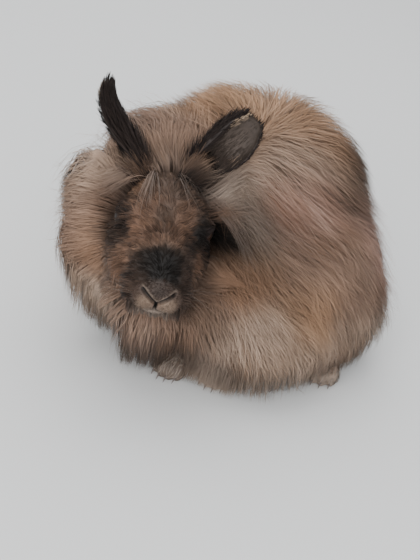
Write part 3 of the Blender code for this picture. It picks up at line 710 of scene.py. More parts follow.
rings["nose"] = skin_rings(nose_field, from_head((0, -46, -14)), 40, 230, 260, pole=0)
cells["nose"] = cells["head"]
points = ball_points(rings["nose"])
nose_material = soft_skin("nose_velvet", 1800, 0.0003, 0.6)
corners = ball_corners(*rings["nose"].shape[:2])
make_piece("nose", "face_fur", nose_material, points, corners, nose_paint(points))

# Ears: thin open cups of gristle and skin, folded at the root, dark behind and taupe inside with a
# paler hollow. Each is a shell carried along a bent line, its section an arc of outer and inner skin.
# A line has its start, bend and end, and the way its cup looks.
ear_lines = {
    "left": (((-25, -40, 138), (-12, -24, 154), (1, -8, 182)), (0.47, -0.79, 0.22)),
    "right": (((-49, -58, 135), (-93, -66, 167), (-88, -60, 191)), (-0.83, -0.48, -0.1)),
}
# A row of the profile has the share along the ear, half the width, the depth and how far it is a cup.
ear_profile = np.array([
    (0.00, 6.5, 6.0, 0.0), (0.14, 7.5, 7.0, 0.0), (0.28, 11.0, 8.5, 0.55), (0.45, 15.0, 9.5, 0.85),
    (0.62, 16.0, 8.5, 1.0), (0.78, 13.5, 6.6, 1.0), (0.91, 8.5, 4.0, 1.0), (1.00, 1.5, 0.8, 1.0),
])
ear_wall, ear_curl, ear_end = 1.5, {"left": 0.36, "right": 0.05}, {"left": 0.95, "right": 0.9}
ear_rows, ear_arc = 70, 41
ear_dark = (42, 34, 31)


def ear_frame(side, share):
    """Places and axes along an ear: a quadratic curve through its start, bend and end, its way on,
    the way its cup looks and the way across."""
    (start, bend, end), opening = ear_lines[side]
    start, bend, end = (np.array(p, float) - middle for p in (start, bend, end))
    share = share[:, None]
    place = start * (1 - share) ** 2 + bend * 2 * share * (1 - share) + end * share ** 2
    ahead = (bend - start) * (1 - share) + (end - bend) * share
    ahead /= np.linalg.norm(ahead, axis=1, keepdims=True)
    look = np.array(opening) - ahead * (ahead @ np.array(opening))[:, None]
    look /= np.linalg.norm(look, axis=1, keepdims=True)
    return place, ahead, look, np.cross(ahead, look)


def ear_sides(side):
    """The outer and the inner skin of an ear as rows along it and an arc across from -90 to 90
    degrees: half width times the sine across, less the depth times the cosine along the look. The
    upper edge curls on over the cup by a share of 180 degrees."""
    share = np.linspace(0, ear_end[side], ear_rows)
    place, ahead, look, across = ear_frame(side, share)
    half, deep, cup = (np.interp(share, ear_profile[:, 0], ear_profile[:, k]) for k in (1, 2, 3))
    turn = np.linspace(-0.5, 0.5, ear_arc) * np.pi
    curl = ear_curl[side] * np.pi * cup * np.clip(1.15 - share, 0, 1) ** 0.5
    arc = turn - curl[:, None] * np.clip(-turn / (np.pi / 2), 0, 1) ** 1.5
    wall = ear_wall * np.clip((1.02 - share) * 6, 0.1, 1)
    inner_half = half - wall
    inner_deep = (1 - cup) * -deep * 0.7 + cup * (deep - wall)
    crimp = 0.25 * np.sin(9 * share + 1)[:, None] * np.sin(arc) ** 2 * cup[:, None]
    skins = []
    for wide, bow in ((half, deep), (inner_half, inner_deep)):
        points = place[:, None] + across[:, None] * (wide[:, None] * np.sin(arc))[..., None]
        skins.append(points - look[:, None] * ((bow[:, None] * np.cos(arc)) + crimp * 2)[..., None])
    return *skins, share, turn


ear_material = soft_skin("ear_skin", 1200, 0.0003, 0.6)
ear_skins = {}
for side in ("left", "right"):
    outer, inner, share, turn = ear_sides(side)
    ear_skins[side] = (outer, inner, share)
    loop = np.concatenate([outer, inner[:, ::-1]], axis=1)
    points = np.concatenate([loop[0].mean(0)[None], loop.reshape(-1, 3), loop[-1].mean(0)[None]])
    along = np.repeat(share[:, None], ear_arc, 1)
    rim = np.abs(turn)[None] / (np.pi / 2) + 0 * along
    back = blend(linear(ear_dark), linear((60, 50, 45)), np.clip(1 - along * 4, 0, 1)[..., None])
    hollow = np.exp(-((rim / 0.55) ** 2) - ((along - 0.5) / 0.3) ** 2)[..., None]
    front = blend(linear((60, 51, 45)), linear((80, 68, 60)), hollow)
    # Painted shade: the inside of the cup is darker towards its root, deep in the cup. It is also darker
    # towards its two edges.
    front = front * (np.clip(0.75 + 0.7 * along, 0, 1) * (1 - 0.45 * np.clip(rim - 0.6, 0, 1)))[..., None]
    paint = np.concatenate([back, front[:, ::-1]], axis=1).reshape(-1, 3)
    paint = np.concatenate([paint[:1], paint, paint[-1:]])
    corners = ball_corners(ear_rows + 2, loop.shape[1])
    piece = make_piece("ear_shell_" + side, "ear_skin", ear_material, points, corners, paint)
    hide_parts("ear_" + side)

# Claws: short curved horns, grey-brown and smooth, half hidden in the fur of the feet. Each is a tube
# that narrows to a point, one at each of the four toes of a foot.
claw_material = soft_skin("claw_horn", 600, 0.0001, 0.35)
claw_share, claw_turn = np.linspace(0, 1, 9), np.arange(10) / 10 * 2 * np.pi
claw_hoop = np.stack([np.cos(claw_turn), 0 * claw_turn, 1.25 * np.sin(claw_turn)], -1)
claw_thick = (1.15 * (1 - claw_share) ** 0.7 + 0.08)[:, None, None]
claw_paint = linear((70, 56, 48)) + claw_share[:, None, None] * 0.08 + np.zeros((9, 10, 3))
claw_paint = claw_paint.reshape(-1, 3)
claw_paint = np.concatenate([claw_paint[:1], claw_paint, claw_paint[-1:]])
claw_parts = []
for side in ("left", "right"):
    for hind in (False, True):
        place, axes = foot_axes(side, hind)
        for centre, radii in (hind_forms if hind else fore_forms)[-4:]:
            front = centre[1] - radii[1] * 0.7
            height = centre[2] * 0.95 - 3.2 * claw_share ** 2
            line = np.stack([0 * claw_share + centre[0], front - 6.5 * claw_share, height], -1)
            tube = (line[:, None] + claw_hoop[None] * claw_thick).reshape(-1, 3)
            local = np.concatenate([line[:1], tube, line[-1:] + np.array([[0, -0.3, -0.1]])])
            points = local @ axes.T + place
            points[:, 2] = np.maximum(points[:, 2], 0.4)
            claw_parts.append([points, ball_corners(11, 10), claw_paint])
make_piece("claws", "leg_fur", claw_material, *merged(claw_parts))

# The long coat of body, mane and tail: soft wool under long guard hair, in tufts that lie back and down
# over the body and fall away from the face in the mane. Each tuft is a thin three-sided blade that
# walks over the coat from its root, rises towards the tips' outline and gathers with its neighbours.
back_line = -9.0 - middle[0]
back_height, rump_line, side_line = 118, 75, 10
floor_spread = 8
coat_rng = np.random.default_rng(7)
long_taper, short_taper = (0.35, 0.9, 1.0, 0.8, 0.5), (0.8, 1.0, 0.6)


def slope_of(field, points):
    """The way out of a form: how the field grows over 0.5 mm along each axis, made one long."""
    here = field(points)
    steps = np.eye(3) * 0.5
    slope = np.stack([field(points + step) - here for step in steps], -1)
    return slope / np.maximum(np.linalg.norm(slope, axis=-1, keepdims=True), 1e-9)


def unit(vectors):
    """Ways made one long."""
    return vectors / np.maximum(np.linalg.norm(vectors, axis=-1, keepdims=True), 1e-9)


def drifts(points, scale, first_seed):
    """A drift along each axis, from three seeds that follow one another."""
    return np.stack([drift(points, scale, first_seed + k) for k in range(3)], -1)


def mane_share(points):
    """1 round the face and 0 on the body, over 20 mm."""
    apart = np.linalg.norm(in_head(points) - np.array([-12, 36, -28]), axis=-1)
    return ramp(apart, 88, 68)


def coat_lie(points):
    """The way long hair falls: out from the face and down in the mane, back and down on the body,
    each swept from side to side by a slow drift."""
    local = in_head(points)
    outward = unit(np.stack([local[:, 0], 0.35 * np.abs(local[:, 0]) + 8, local[:, 2] + 14], -1))
    from_face = outward @ head_axes.T + np.array([0, 0, -0.8])
    apart = np.tanh((points[:, 0] - back_line) / 25)
    on_body = np.stack([0.62 * apart, 0.24 + 0.45 * (1 - np.abs(apart)), -1.0 + 0 * apart], -1)
    return blend(on_body, from_face, mane_share(points)[:, None]) + 0.42 * drifts(points, 50, 11)


def walked(roots, field, way, lengths, start, rises, steps):
    """The line of each tuft: step by step along the lie, flattened to the form, then out along its
    slope to the height that is due there, from start up by the tuft's rise times share to the 0.8.
    Under the belly the hair hangs free and straight, and near the floor it spreads."""
    place, before, lines, slopes = roots, None, [roots], []
    for k in range(steps):
        slope = slope_of(field, place)
        slopes.append(slope)
        ahead = way(place)
        ahead = unit(ahead - slope * (ahead * slope).sum(-1, keepdims=True))
        ahead = ahead if before is None else unit(ahead + 0.8 * before)
        free = np.clip(-slope[:, 2:] * 3 - 0.6, 0, 1)
        ahead = unit(blend(ahead, np.array([0, 0, -1.0]), free))
        place = place + ahead * (lengths / steps)[:, None]
        due = start + rises * ((k + 1) / steps) ** 0.8
        gap = np.clip(due - field(place), -9, 9)
        place = place + slope * gap[:, None] * (1 - free)
        low = np.minimum(2.5 + 4 * np.exp((place[:, 2] - floor_spread) / 8), 7)
        place[:, 2] = np.where(place[:, 2] < floor_spread, low, place[:, 2])
        before = ahead
        lines.append(place)
    slopes.append(slope_of(field, place))
    return np.stack(lines, 1), np.stack(slopes, 1)


def gathered(lines, slopes, leaders, pull, roundness=0.5):
    """Hair gathers in locks: each tuft leans to the line of the nearest of some leaders, by a pull
    that grows with its share to the 1.5. Nearness is that of the roots. A lock is round across, so
    its tufts' slopes lean away from its leader. Gives the number of each tuft's leader too."""
    chosen = coat_rng.choice(len(lines), leaders, replace=False)
    heads = lines[chosen, 0]
    nearest = np.concatenate([
        np.argmin(((block ** 2).sum(1)[:, None] + (heads ** 2).sum(1) - 2 * block @ heads.T), axis=1)
        for block in np.array_split(lines[:, 0], max(1, len(lines) // 3000))
    ])
    lean = (pull * np.linspace(0, 1, lines.shape[1]) ** 1.5)[None, :, None]
    aside = lines[:, 0] - heads[nearest]
    aside = aside / (np.linalg.norm(aside, axis=1).mean() + 1e-9)
    slopes = unit(slopes + roundness * aside[:, None])
    return blend(lines, lines[chosen][nearest], lean), slopes, nearest


def lock_tones(nearest, spread):
    """One random tone for each lock, which all its tufts share."""
    return coat_rng.normal(0, spread, nearest.max() + 1)[nearest]


def free_of_head(lines, least):
    """True for a tuft that stays outside the head and nowhere turns by more than about 65 degrees
    in one step."""
    outside = head_shape(lines[:, 1:].reshape(-1, 3)).reshape(len(lines), -1).min(1) > least
    ahead = unit(np.diff(lines, axis=1))
    return outside & ((ahead[:, 1:] * ahead[:, :-1]).sum(-1).min(1) > 0.42)


def kept(clear, *tables):
    """The rows of some tables where clear is true."""
    return [table[clear] for table in tables]


def scattered(part, count, weigh):
    """Roots spread over a ball of rings: cells drawn by their area times a weight, and a random place
    in each. Gives the places and their places on the unwrap."""
    grid, unwrap = rings[part], ball_map(rings[part], cells[part])
    after = np.roll(grid, -1, axis=1)
    a, b, c, d = grid[:-1], after[:-1], grid[1:], after[1:]
    area = np.linalg.norm(np.cross(b - a, c - a), axis=-1) + np.linalg.norm(np.cross(d - b, c - b), axis=-1)
    chance = (area * weigh((a + d) / 2)).ravel()
    cell = coat_rng.choice(chance.size, count, p=chance / chance.sum())
    i, j = np.divmod(cell, grid.shape[1])
    s, t = coat_rng.random((2, count, 1))
    roots = (a[i, j] * (1 - s) + c[i, j] * s) * (1 - t) + (b[i, j] * (1 - s) + d[i, j] * s) * t
    step = unwrap[1, 1] - unwrap[0, 0]
    return roots, unwrap[i, j] + np.concatenate([t, s], 1) * step


def tufts(lines, slopes, spots, width, colour, own=0.5, lock=0.6, nearest=None, more=0.0, scale=1.0,
          taper=long_taper):
    """Blades along lines, each of one colour or of one for each step. Half its width is the scale
    times a draw between the least and the most, or is given. Its own tone and its lock's are drawn
    with the spreads own and lock, the lock's once for each leader, or are given, and more is added.
    Across a blade there are a left, a right and an upper corner, as wide as the taper says, turned a
    little about the line, and its end closes in one point. Its patch on the unwrap is 0.003 across
    at its root's spot."""
    count, rows = lines.shape[0], lines.shape[1] - 1
    widths = scale * coat_rng.uniform(*width, count) if len(width) == 2 else width
    own = coat_rng.normal(0, own, count)
    if nearest is not None:
        lock = lock_tones(nearest, lock)
    elif np.ndim(lock) == 0:
        lock = coat_rng.normal(0, lock, count)
    ahead = unit(np.diff(lines, axis=1))
    side = unit(np.cross(ahead, slopes[:, :-1]))
    up = np.cross(side, ahead)
    lean = coat_rng.uniform(-0.7, 0.7, (count, 1, 1))
    side, up = side * np.cos(lean) + up * np.sin(lean), up * np.cos(lean) - side * np.sin(lean)
    along = np.arange(rows) / rows
    wide = widths[:, None, None] * np.interp(along, np.linspace(0, 0.8, len(taper)), taper)[None, :, None]
    centre = lines[:, :-1]
    hoops = np.stack([centre - side * wide, centre + side * wide, centre + up * wide * 0.6], 2)
    points = np.concatenate([hoops.reshape(count, rows * 3, 3), lines[:, -1:]], 1)
    base = np.arange(rows - 1)[:, None] * 3
    i, j = np.arange(3), (np.arange(3) + 1) % 3
    walls = cell_corners(base + i, base + j, base + 3 + i, base + 3 + j)
    last = (rows - 1) * 3
    end = np.stack([last + i, 0 * i + last + 3, last + j], -1)
    one = np.concatenate([walls, end, [[0, 1, 2]]])
    corners = (np.arange(count)[:, None, None] * (rows * 3 + 1) + one[None]).reshape(-1, 3)
    share = np.concatenate([np.repeat(along, 3), [1.0]])
    offset = np.concatenate([np.tile([-1.0, 1.0, 0.0], rows), [0.0]])
    strand = np.stack(np.broadcast_arrays(share[None], own[:, None], (lock + more)[:, None]), -1)
    patch = spots[:, None] + np.stack([offset, share * 2 - 1], -1)[None] * 0.0015
    if colour.ndim == 2:
        colour = np.repeat(colour[:, None], rows + 1, 1)
    paint, outward = (
        np.concatenate([np.repeat(values[:, :-1], 3, 1), values[:, -1:]], 1) for values in (colour, slopes)
    )
    flat = [values.reshape(-1, values.shape[-1]) for values in (points, paint, strand, patch, outward)]
    return [flat[0], corners] + flat[1:]


def coat_weight(name, places):
    """Where a piece of the long coat has its roots: the back over a height, the rump behind a line,
    the two sides, fewer near the floor, and the two halves of the mane."""
    mane = mane_share(places.reshape(-1, 3)).reshape(places.shape[:-1])
    x, y, z = (places[..., k] for k in range(3))
    if name.startswith("mane"):
        return mane * ((in_head(places)[..., 0] > 0) == (name == "mane_left"))
    if name == "coat_back":
        return (1 - mane) * (z > back_height)
    low = (1 - mane) * (z <= back_height) * np.clip(z / 30, 0.1, 1)
    if name == "coat_rump":
        return low * (y >= rump_line)
    return low * (y < rump_line) * ((x > side_line) == (name == "coat_left"))


coat_material = hair_material("long_coat", 0.13, 0.10, 0.10, 0.06, 0.88)
coat_counts = {
    "coat_back": 10500, "coat_left": 11500, "coat_right": 6000, "coat_rump": 6000,
    "mane_left": 8600, "mane_right": 8200,
}
for name, count in coat_counts.items():
    roots, spots = scattered("body", count, partial(coat_weight, name))
    roots, spots = kept(head_shape(roots) > 1, roots, spots)
    count, local, (x, y, z) = len(roots), in_head(roots), roots.T
    lengths = coat_rng.uniform(36, 68, count)
    rises = coat_depth * coat_rng.uniform(0.35, 1.12, count) ** 0.8 * (1 + 0.16 * drift(roots, 24, 51))
    # The coat stands fuller over the back, on the right of the mane and low on the left flank.
    rises = rises + 6.5 * ramp(z, 122, 146) * ramp(y, -30, 10)
    rises = rises + 4.0 * ramp(local[:, 0], -34, -48) * (local[:, 2] < 4)
    rises = rises + 3.0 * ramp(x, 70, 90) * ramp(z, 80, 50)
    astray = coat_rng.normal(0, 0.25, (count, 3))
    steps = 4 if name.startswith("mane") else 3
    lines, slopes = walked(
        roots, coat_tips, lambda p: coat_lie(p) + astray, lengths, -coat_depth, rises, steps
    )
    lines, slopes, broad = gathered(lines, slopes, count // 110, 0.36, 0.45)
    lines, slopes, nearest = gathered(lines, slopes, count // 14, 0.36, 0.2)
    pace, phase = coat_rng.uniform(4, 9, count)[:, None], coat_rng.uniform(0, 6, count)[:, None]
    wave = np.sin(np.linspace(0, 1, steps + 1)[None] * pace + phase)
    across = unit(np.cross(np.gradient(lines, axis=1), slopes))
    lines = lines + across * (wave * np.linspace(0, 1.8, steps + 1))[..., None]
    streak = lock_tones(broad, 1.0)[:, None] * np.array([0.10, 0.13, 0.16])
    colour = markings(lines) * (1 + streak)[:, None]
    tones = lock_tones(nearest, 0.6)
    clear = free_of_head(lines, -1)
    lines, slopes, spots, tones, colour = kept(clear, lines, slopes, spots, tones, colour)
    slot = "mane_fur" if name.startswith("mane") else "coat_fur"
    parts = tufts(lines, slopes, spots, (0.13, 0.34), colour, lock=tones)
    make_piece(name, slot, coat_material, *parts)

# Fine guard hairs stand a little over the coat everywhere and soften its edge, and an apron of longer
# hair hangs straight down from the breast over the left forepaw.
apron_place, apron_spread = np.array([36, -76, 30]), np.array([20, 26, 12])
apron_way = np.array([0.1, -0.05, -1.0])
roots, spots = scattered("body", 5200, lambda p: 1.0 * (p[..., 2] > 12))
roots, spots = kept(head_shape(roots) > 1, roots, spots)
count = len(roots)
astray = coat_rng.normal(0, 0.35, (count, 3))
lines, slopes = walked(
    roots, coat_tips, lambda p: coat_lie(p) + astray, coat_rng.uniform(44, 72, count), -coat_depth,
    coat_depth + coat_rng.uniform(1, 6.5, count), 4,
)
lines, slopes, spots = kept(free_of_head(lines, 2), lines, slopes, spots)
guard = tufts(lines, slopes, spots, (0.06, 0.12), markings(lines) * 1.08, own=0.8, lock=0.3)


def curtain(points):
    """The coat's tips, carried straight down from 25 mm above the floor."""
    return coat_tips(np.concatenate([points[..., :2], np.maximum(points[..., 2:], 25)], -1))


roots, spots = scattered("body", 1100, lambda p: np.exp(-(((p - apron_place) / apron_spread) ** 2).sum(-1)))
count = len(roots)
lines, slopes = walked(
    roots, curtain, lambda p: apron_way + coat_rng.normal(0, 0.12, p.shape),
    np.clip(roots[:, 2] - coat_rng.uniform(0, 6, count), 16, 60), -coat_depth,
    coat_depth * coat_rng.uniform(0.5, 1.05, count), 4,
)
lines, slopes, nearest = gathered(lines, slopes, count // 14, 0.35, 0.2)
apron = tufts(lines, slopes, spots, (0.13, 0.3), markings(lines), nearest=nearest)
make_piece("coat_guard_hair", "coat_fur", coat_material, *merged([guard, apron]))


# The tail: a short upright brush of the same long hair, carried against the rump. Its tufts grow from
# the skin of the tail, out from its middle.
def tail_lie(points):
    """Hair of the tail falls out from its middle, back and down."""
    return unit(points - tail_middle) + np.array([0, 0.5, -0.6])


roots, spots = scattered("tail", 1300, lambda p: 1 + 0 * p[..., 0])
count = len(roots)
lines, slopes = walked(
    roots, tail_field, tail_lie, coat_rng.uniform(14, 24, count), -tail_depth,
    coat_rng.uniform(4, 10, count), 4,
)
lines, slopes, nearest = gathered(lines, slopes, count // 12, 0.6)
parts = tufts(lines, slopes, spots, (0.4, 0.8), markings(lines[:, 2]), nearest=nearest)
make_piece("coat_tail", "coat_fur", coat_material, *parts)

# The short fur of the face: plush that grows back from the nose, longer and crimped on the forehead,
# and a fine down over the nose. The left eye is open and the right one is half shut by the fur.
face_material = hair_material("face_fur", 0.34, 0.2, 0.12, 0.03, 0.55)


def face_lie(points):
    """Face hair grows back from the nose and spreads down over the cheeks, with a crimp across that
    is strongest on the forehead."""
    x, y, _ = in_head(points).T
    side = 0.35 * np.sign(x) * ramp(np.abs(x), 0, 14)
    side = side + 0.6 * drift(points, 11, 21) * np.exp(-(((y + 20) / 22) ** 2))
    return np.stack([side, 1 + 0 * x, -0.25 - 0.02 * np.abs(x)], -1) @ head_axes.T


def muzzle_side(local):
    """1 on the sides of the muzzle and under its pads, 0 elsewhere."""
    x, y, z = local.T
    low = ramp(z, -6, -13) * ramp(y, -26, -34)
    return low * np.clip((np.abs(x) - 11) / 4 + ramp(z, -27, -30), 0, 1)


def face_length(local):
    """Hair length over the face in mm: 3 at the nose, 10 on the forehead, up to 18 at the cheeks, and
    7 more on the sides of the muzzle."""
    x, y, z = local.T
    back, side = ramp(y, -62, -7), ramp(np.abs(x), 0, 30) * ramp(z, 15, -15)
    return 2.6 + 7.5 * back + 8 * side * back + 7 * muzzle_side(local)


def over_eye(lines):
    """True for a tuft that would cross the almond of an eye, of which the right one is half shut by
    fur from the front."""
    local = in_head(lines)
    right = local[..., 0] < 0
    reach = ((local[..., 1] - eye_place[1] - 3.5 * right) / (7.9 - 5.4 * right)) ** 2
    reach = reach + ((local[..., 2] - eye_place[2] + 0.8) / (4.6 - 2.4 * right)) ** 2
    return ((reach < 1) & (np.abs(local[..., 0]) > 22)).any(1)


def face_weight(places):
    """More hair on the front of the face, none in the grooves, on the eyes or under the mane."""
    local = in_head(places)
    x, y, z = (local[..., k] for k in range(3))
    eye = ((y - eye_place[1]) / 8.0) ** 2 + ((z - eye_place[2] + 0.8) / 4.8) ** 2
    bare = (eye < 1) & (np.abs(x) > 18)
    velvet = (np.abs(x) < 12.5) & (z < -13) & (z > -27) & (y < -52)
    return np.where(bare | velvet | (y > 34), 0.0, 1.0 + 1.5 * (y < -30)) * np.exp(-groove_depth(local) * 2)


roots, spots = scattered("head", 10800, face_weight)
count, local = len(roots), in_head(roots)
lengths = face_length(local) * coat_rng.uniform(0.75, 1.25, count)
rises = (0.8 + lengths * 0.16 + 4.5 * muzzle_side(local)) * coat_rng.uniform(0.4, 1.15, count)
from_right_eye = (local - np.array([-25, -17, 9])) / np.array([9, 7, 9])
rises = rises + 5.0 * np.exp(-(from_right_eye ** 2).sum(1))
lines, slopes = walked(roots, head_shape, face_lie, lengths, -face_depth, rises, 3)
lines, slopes, nearest = gathered(lines, slopes, count // 10, 0.6)
clear = ~over_eye(lines)
lines, slopes, spots, nearest, lengths = kept(clear, lines, slopes, spots, nearest, lengths)
near_root = lines[:, 1]
parts = tufts(
    lines, slopes, spots, (0.8, 1.2), markings(near_root) * (1 + 0.3 * drift(near_root, 6, 63))[:, None],
    lock=0.7, nearest=nearest, more=1.1 * drift(near_root, 9, 61), scale=0.13 + 0.008 * lengths,
    taper=short_taper,
)
make_piece("coat_face", "face_fur", face_material, *parts)


def velvet_weight(places):
    """Roots of the nose's down: over tip and pads, clear of the grooves."""
    local = in_head(places)
    x, y, z = (local[..., k] for k in range(3))
    return ((np.abs(x) < 15) & (z < -6) & (z > -30) & (y < -50)) * np.exp(-groove_depth(local) * 2.2)


roots, spots = scattered("nose", 3200, velvet_weight)
count, colour = len(roots), nose_paint(roots)
lines, slopes = walked(
    roots, nose_field, lambda p: face_lie(p) + coat_rng.normal(0, 0.3, p.shape),
    coat_rng.uniform(0.8, 1.7, count), -0.1, coat_rng.uniform(0.2, 0.6, count), 3,
)
lines, slopes, nearest = gathered(lines, slopes, count // 8, 0.4)
clear = groove_depth(in_head(lines)).max(1) < 0.5
lines, slopes, spots, nearest, colour = kept(clear, lines, slopes, spots, nearest, colour)
parts = tufts(
    lines, slopes, spots, (0.08, 0.15), colour, own=0.6, lock=0.5, nearest=nearest, taper=short_taper
)
make_piece("coat_nose", "face_fur", face_material, *parts)


# The ruff: long hair from the crown, temples, cheeks and jaw, which sweeps out from the face over the
# mane, so that nothing parts them.
def head_and_mane(points):
    """How far a place is outside head and mane together, the mane counted 5 mm in from its tips, with
    the crease between them well filled."""
    return joined(head_shape(points), coat_tips(points) + 5, 7.0)


def ruff_weight(places):
    """Roots of the ruff: a band round the face behind the eyes, further forward on the cheeks, up to
    the nape."""
    local = in_head(places)
    y, z = local[..., 1], local[..., 2]
    edge = 4 - 30 * ramp(z, -2, -24) + 6 * ramp(z, 14, 28)
    edge = edge + 5 * drift(places.reshape(-1, 3), 16, 44).reshape(y.shape)
    return np.clip((y - edge) / 20, 0, 1) * (y < 44)


def before_left_eye(lines):
    """True for a tuft that would hang before the open hollow of the left eye, seen from in front and
    above: its place less the hollow's, flattened along that way, in an ellipse with half axes of 15
    and 10 mm."""
    local = in_head(lines) - np.array([36.0, -2.0, 3.0])
    ahead = np.array([-0.16, -0.88, 0.44])
    depth = local @ ahead
    flat = local - ahead * depth[..., None]
    return (((flat[..., 0] / 15) ** 2 + (flat[..., 2] / 10) ** 2 < 1) & (depth > -16)).any(1)


def ruff_lie(points):
    """Back along the head first, spreading to the sides and down, then as the mane falls."""
    x, _, z = in_head(points).T
    back = np.stack([x / 45, 1 + 0 * x, -0.25 + (z - 10) / 90], -1) @ head_axes.T
    return back + 0.55 * unit(coat_lie(points)) + 0.2 * drifts(points, 14, 41)


roots, spots = scattered("head", 6200, ruff_weight)
count = len(roots)
lengths = coat_rng.uniform(14, 46, count)
rises = 1.5 + lengths * coat_rng.uniform(0.04, 0.15, count)
lines, slopes = walked(roots, head_and_mane, ruff_lie, lengths, -face_depth, rises, 4)
lines, slopes, nearest = gathered(lines, slopes, count // 18, 0.45, 0.3)
clear = ~over_eye(lines) & ~before_left_eye(lines)
lines, slopes, spots, nearest = kept(clear, lines, slopes, spots, nearest)
parts = tufts(lines, slopes, spots, (0.13, 0.32), markings(lines), nearest=nearest)
make_piece("coat_ruff", "mane_fur", coat_material, *parts)

# The forelock: long hair from between the ears, thin and grey where it falls forward, fuller where it
# sweeps out to both sides. Each fall has its place, spread and way in the head, the least and greatest
# length of its hair, how many tufts it has and how grey it is.
forelock_falls = {
    "middle": ((-11, 27, 33), (2.5, 5, 2.5), (-0.02, -1, -0.35), (30, 66), 46, 0.5),
    "middle left": ((6, 22, 34), (6, 6, 3), (0.3, -1, -0.3), (18, 50), 16, 0.4),
    "right sweep": ((-16, 28, 28), (7, 9, 6), (-1.2, -0.3, -0.5), (20, 46), 160, 0.3),
    "left sweep": ((24, 30, 27), (9, 10, 8), (0.85, -0.7, -0.3), (40, 78), 640, 0.25),
    "left fall": ((42, 22, 20), (8, 9, 9), (0.6, -0.5, -0.6), (34, 66), 560, 0.25),
}


def sagging(points):
    """Hair of the forelock that has come out 34 mm to the left turns down over the next 18 mm."""
    share = np.clip((in_head(points)[:, :1] - 34) / 18, 0, 1)
    return share * (np.array([-0.35, 0.15, -1.0]) @ head_axes.T)


forelock_parts = []
for place, spread, fall, length, count, grey in forelock_falls.values():
    roots = from_head(np.array(place) + coat_rng.normal(0, 0.5, (count, 3)) * np.array(spread))
    roots = roots - slope_of(head_shape, roots) * (head_shape(roots) + 1.5)[:, None]
    way = (np.array(fall, float) + coat_rng.normal(0, 0.34 - 0.42 * grey, (count, 3))) @ head_axes.T
    lines, slopes = walked(
        roots, head_and_mane, lambda p: way + 0.25 * drifts(p, 30, 31) + sagging(p),
        coat_rng.uniform(*length, count), -1.5, coat_rng.uniform(2.5, 7.5, count), 4,
    )
    lines, slopes, nearest = gathered(lines, slopes, max(5, count // 6), 0.25 + 0.6 * grey, 0.3)
    clear = ~over_eye(lines) & ~before_left_eye(lines)
    lines, slopes, nearest = kept(clear, lines, slopes, nearest)
    spots = np.array([0.24, 0.2]) + in_head(lines[:, 0])[:, :2] * np.array([0.006, 0.003])
    colour = blend(markings(lines), linear((140, 126, 116)), grey)
    forelock_parts.append(tufts(lines, slopes, spots, (0.1, 0.26), colour, nearest=nearest))
make_piece("coat_forelock", "mane_fur", coat_material, *merged(forelock_parts))

# Ear fur: short dark hair on the backs that lies towards the tip, thin pale down in the cups, a fringe
# of longer hair along the edges, cream on the outer one, and dark tufts at the roots.
short_steps, long_steps = (np.linspace(0, 1, count)[None, :, None] for count in (4, 5))
back_count, wrap_count, root_count, edge_count = 1950, 520, 440, 370


def ear_spots(side, across, along):
    """Places on the unwrap, of which each ear has its own part."""
    return np.stack(np.broadcast_arrays(across, along), -1) * 0.45 + (0.02 if side == "left" else 0.52)


def round_root(count):
    """Random turns round the root of the ear in hand, and the ways out there."""
    turn = coat_rng.uniform(0, 2 * np.pi, count)
    return turn, across[:1] * np.cos(turn)[:, None] + look[:1] * np.sin(turn)[:, None]


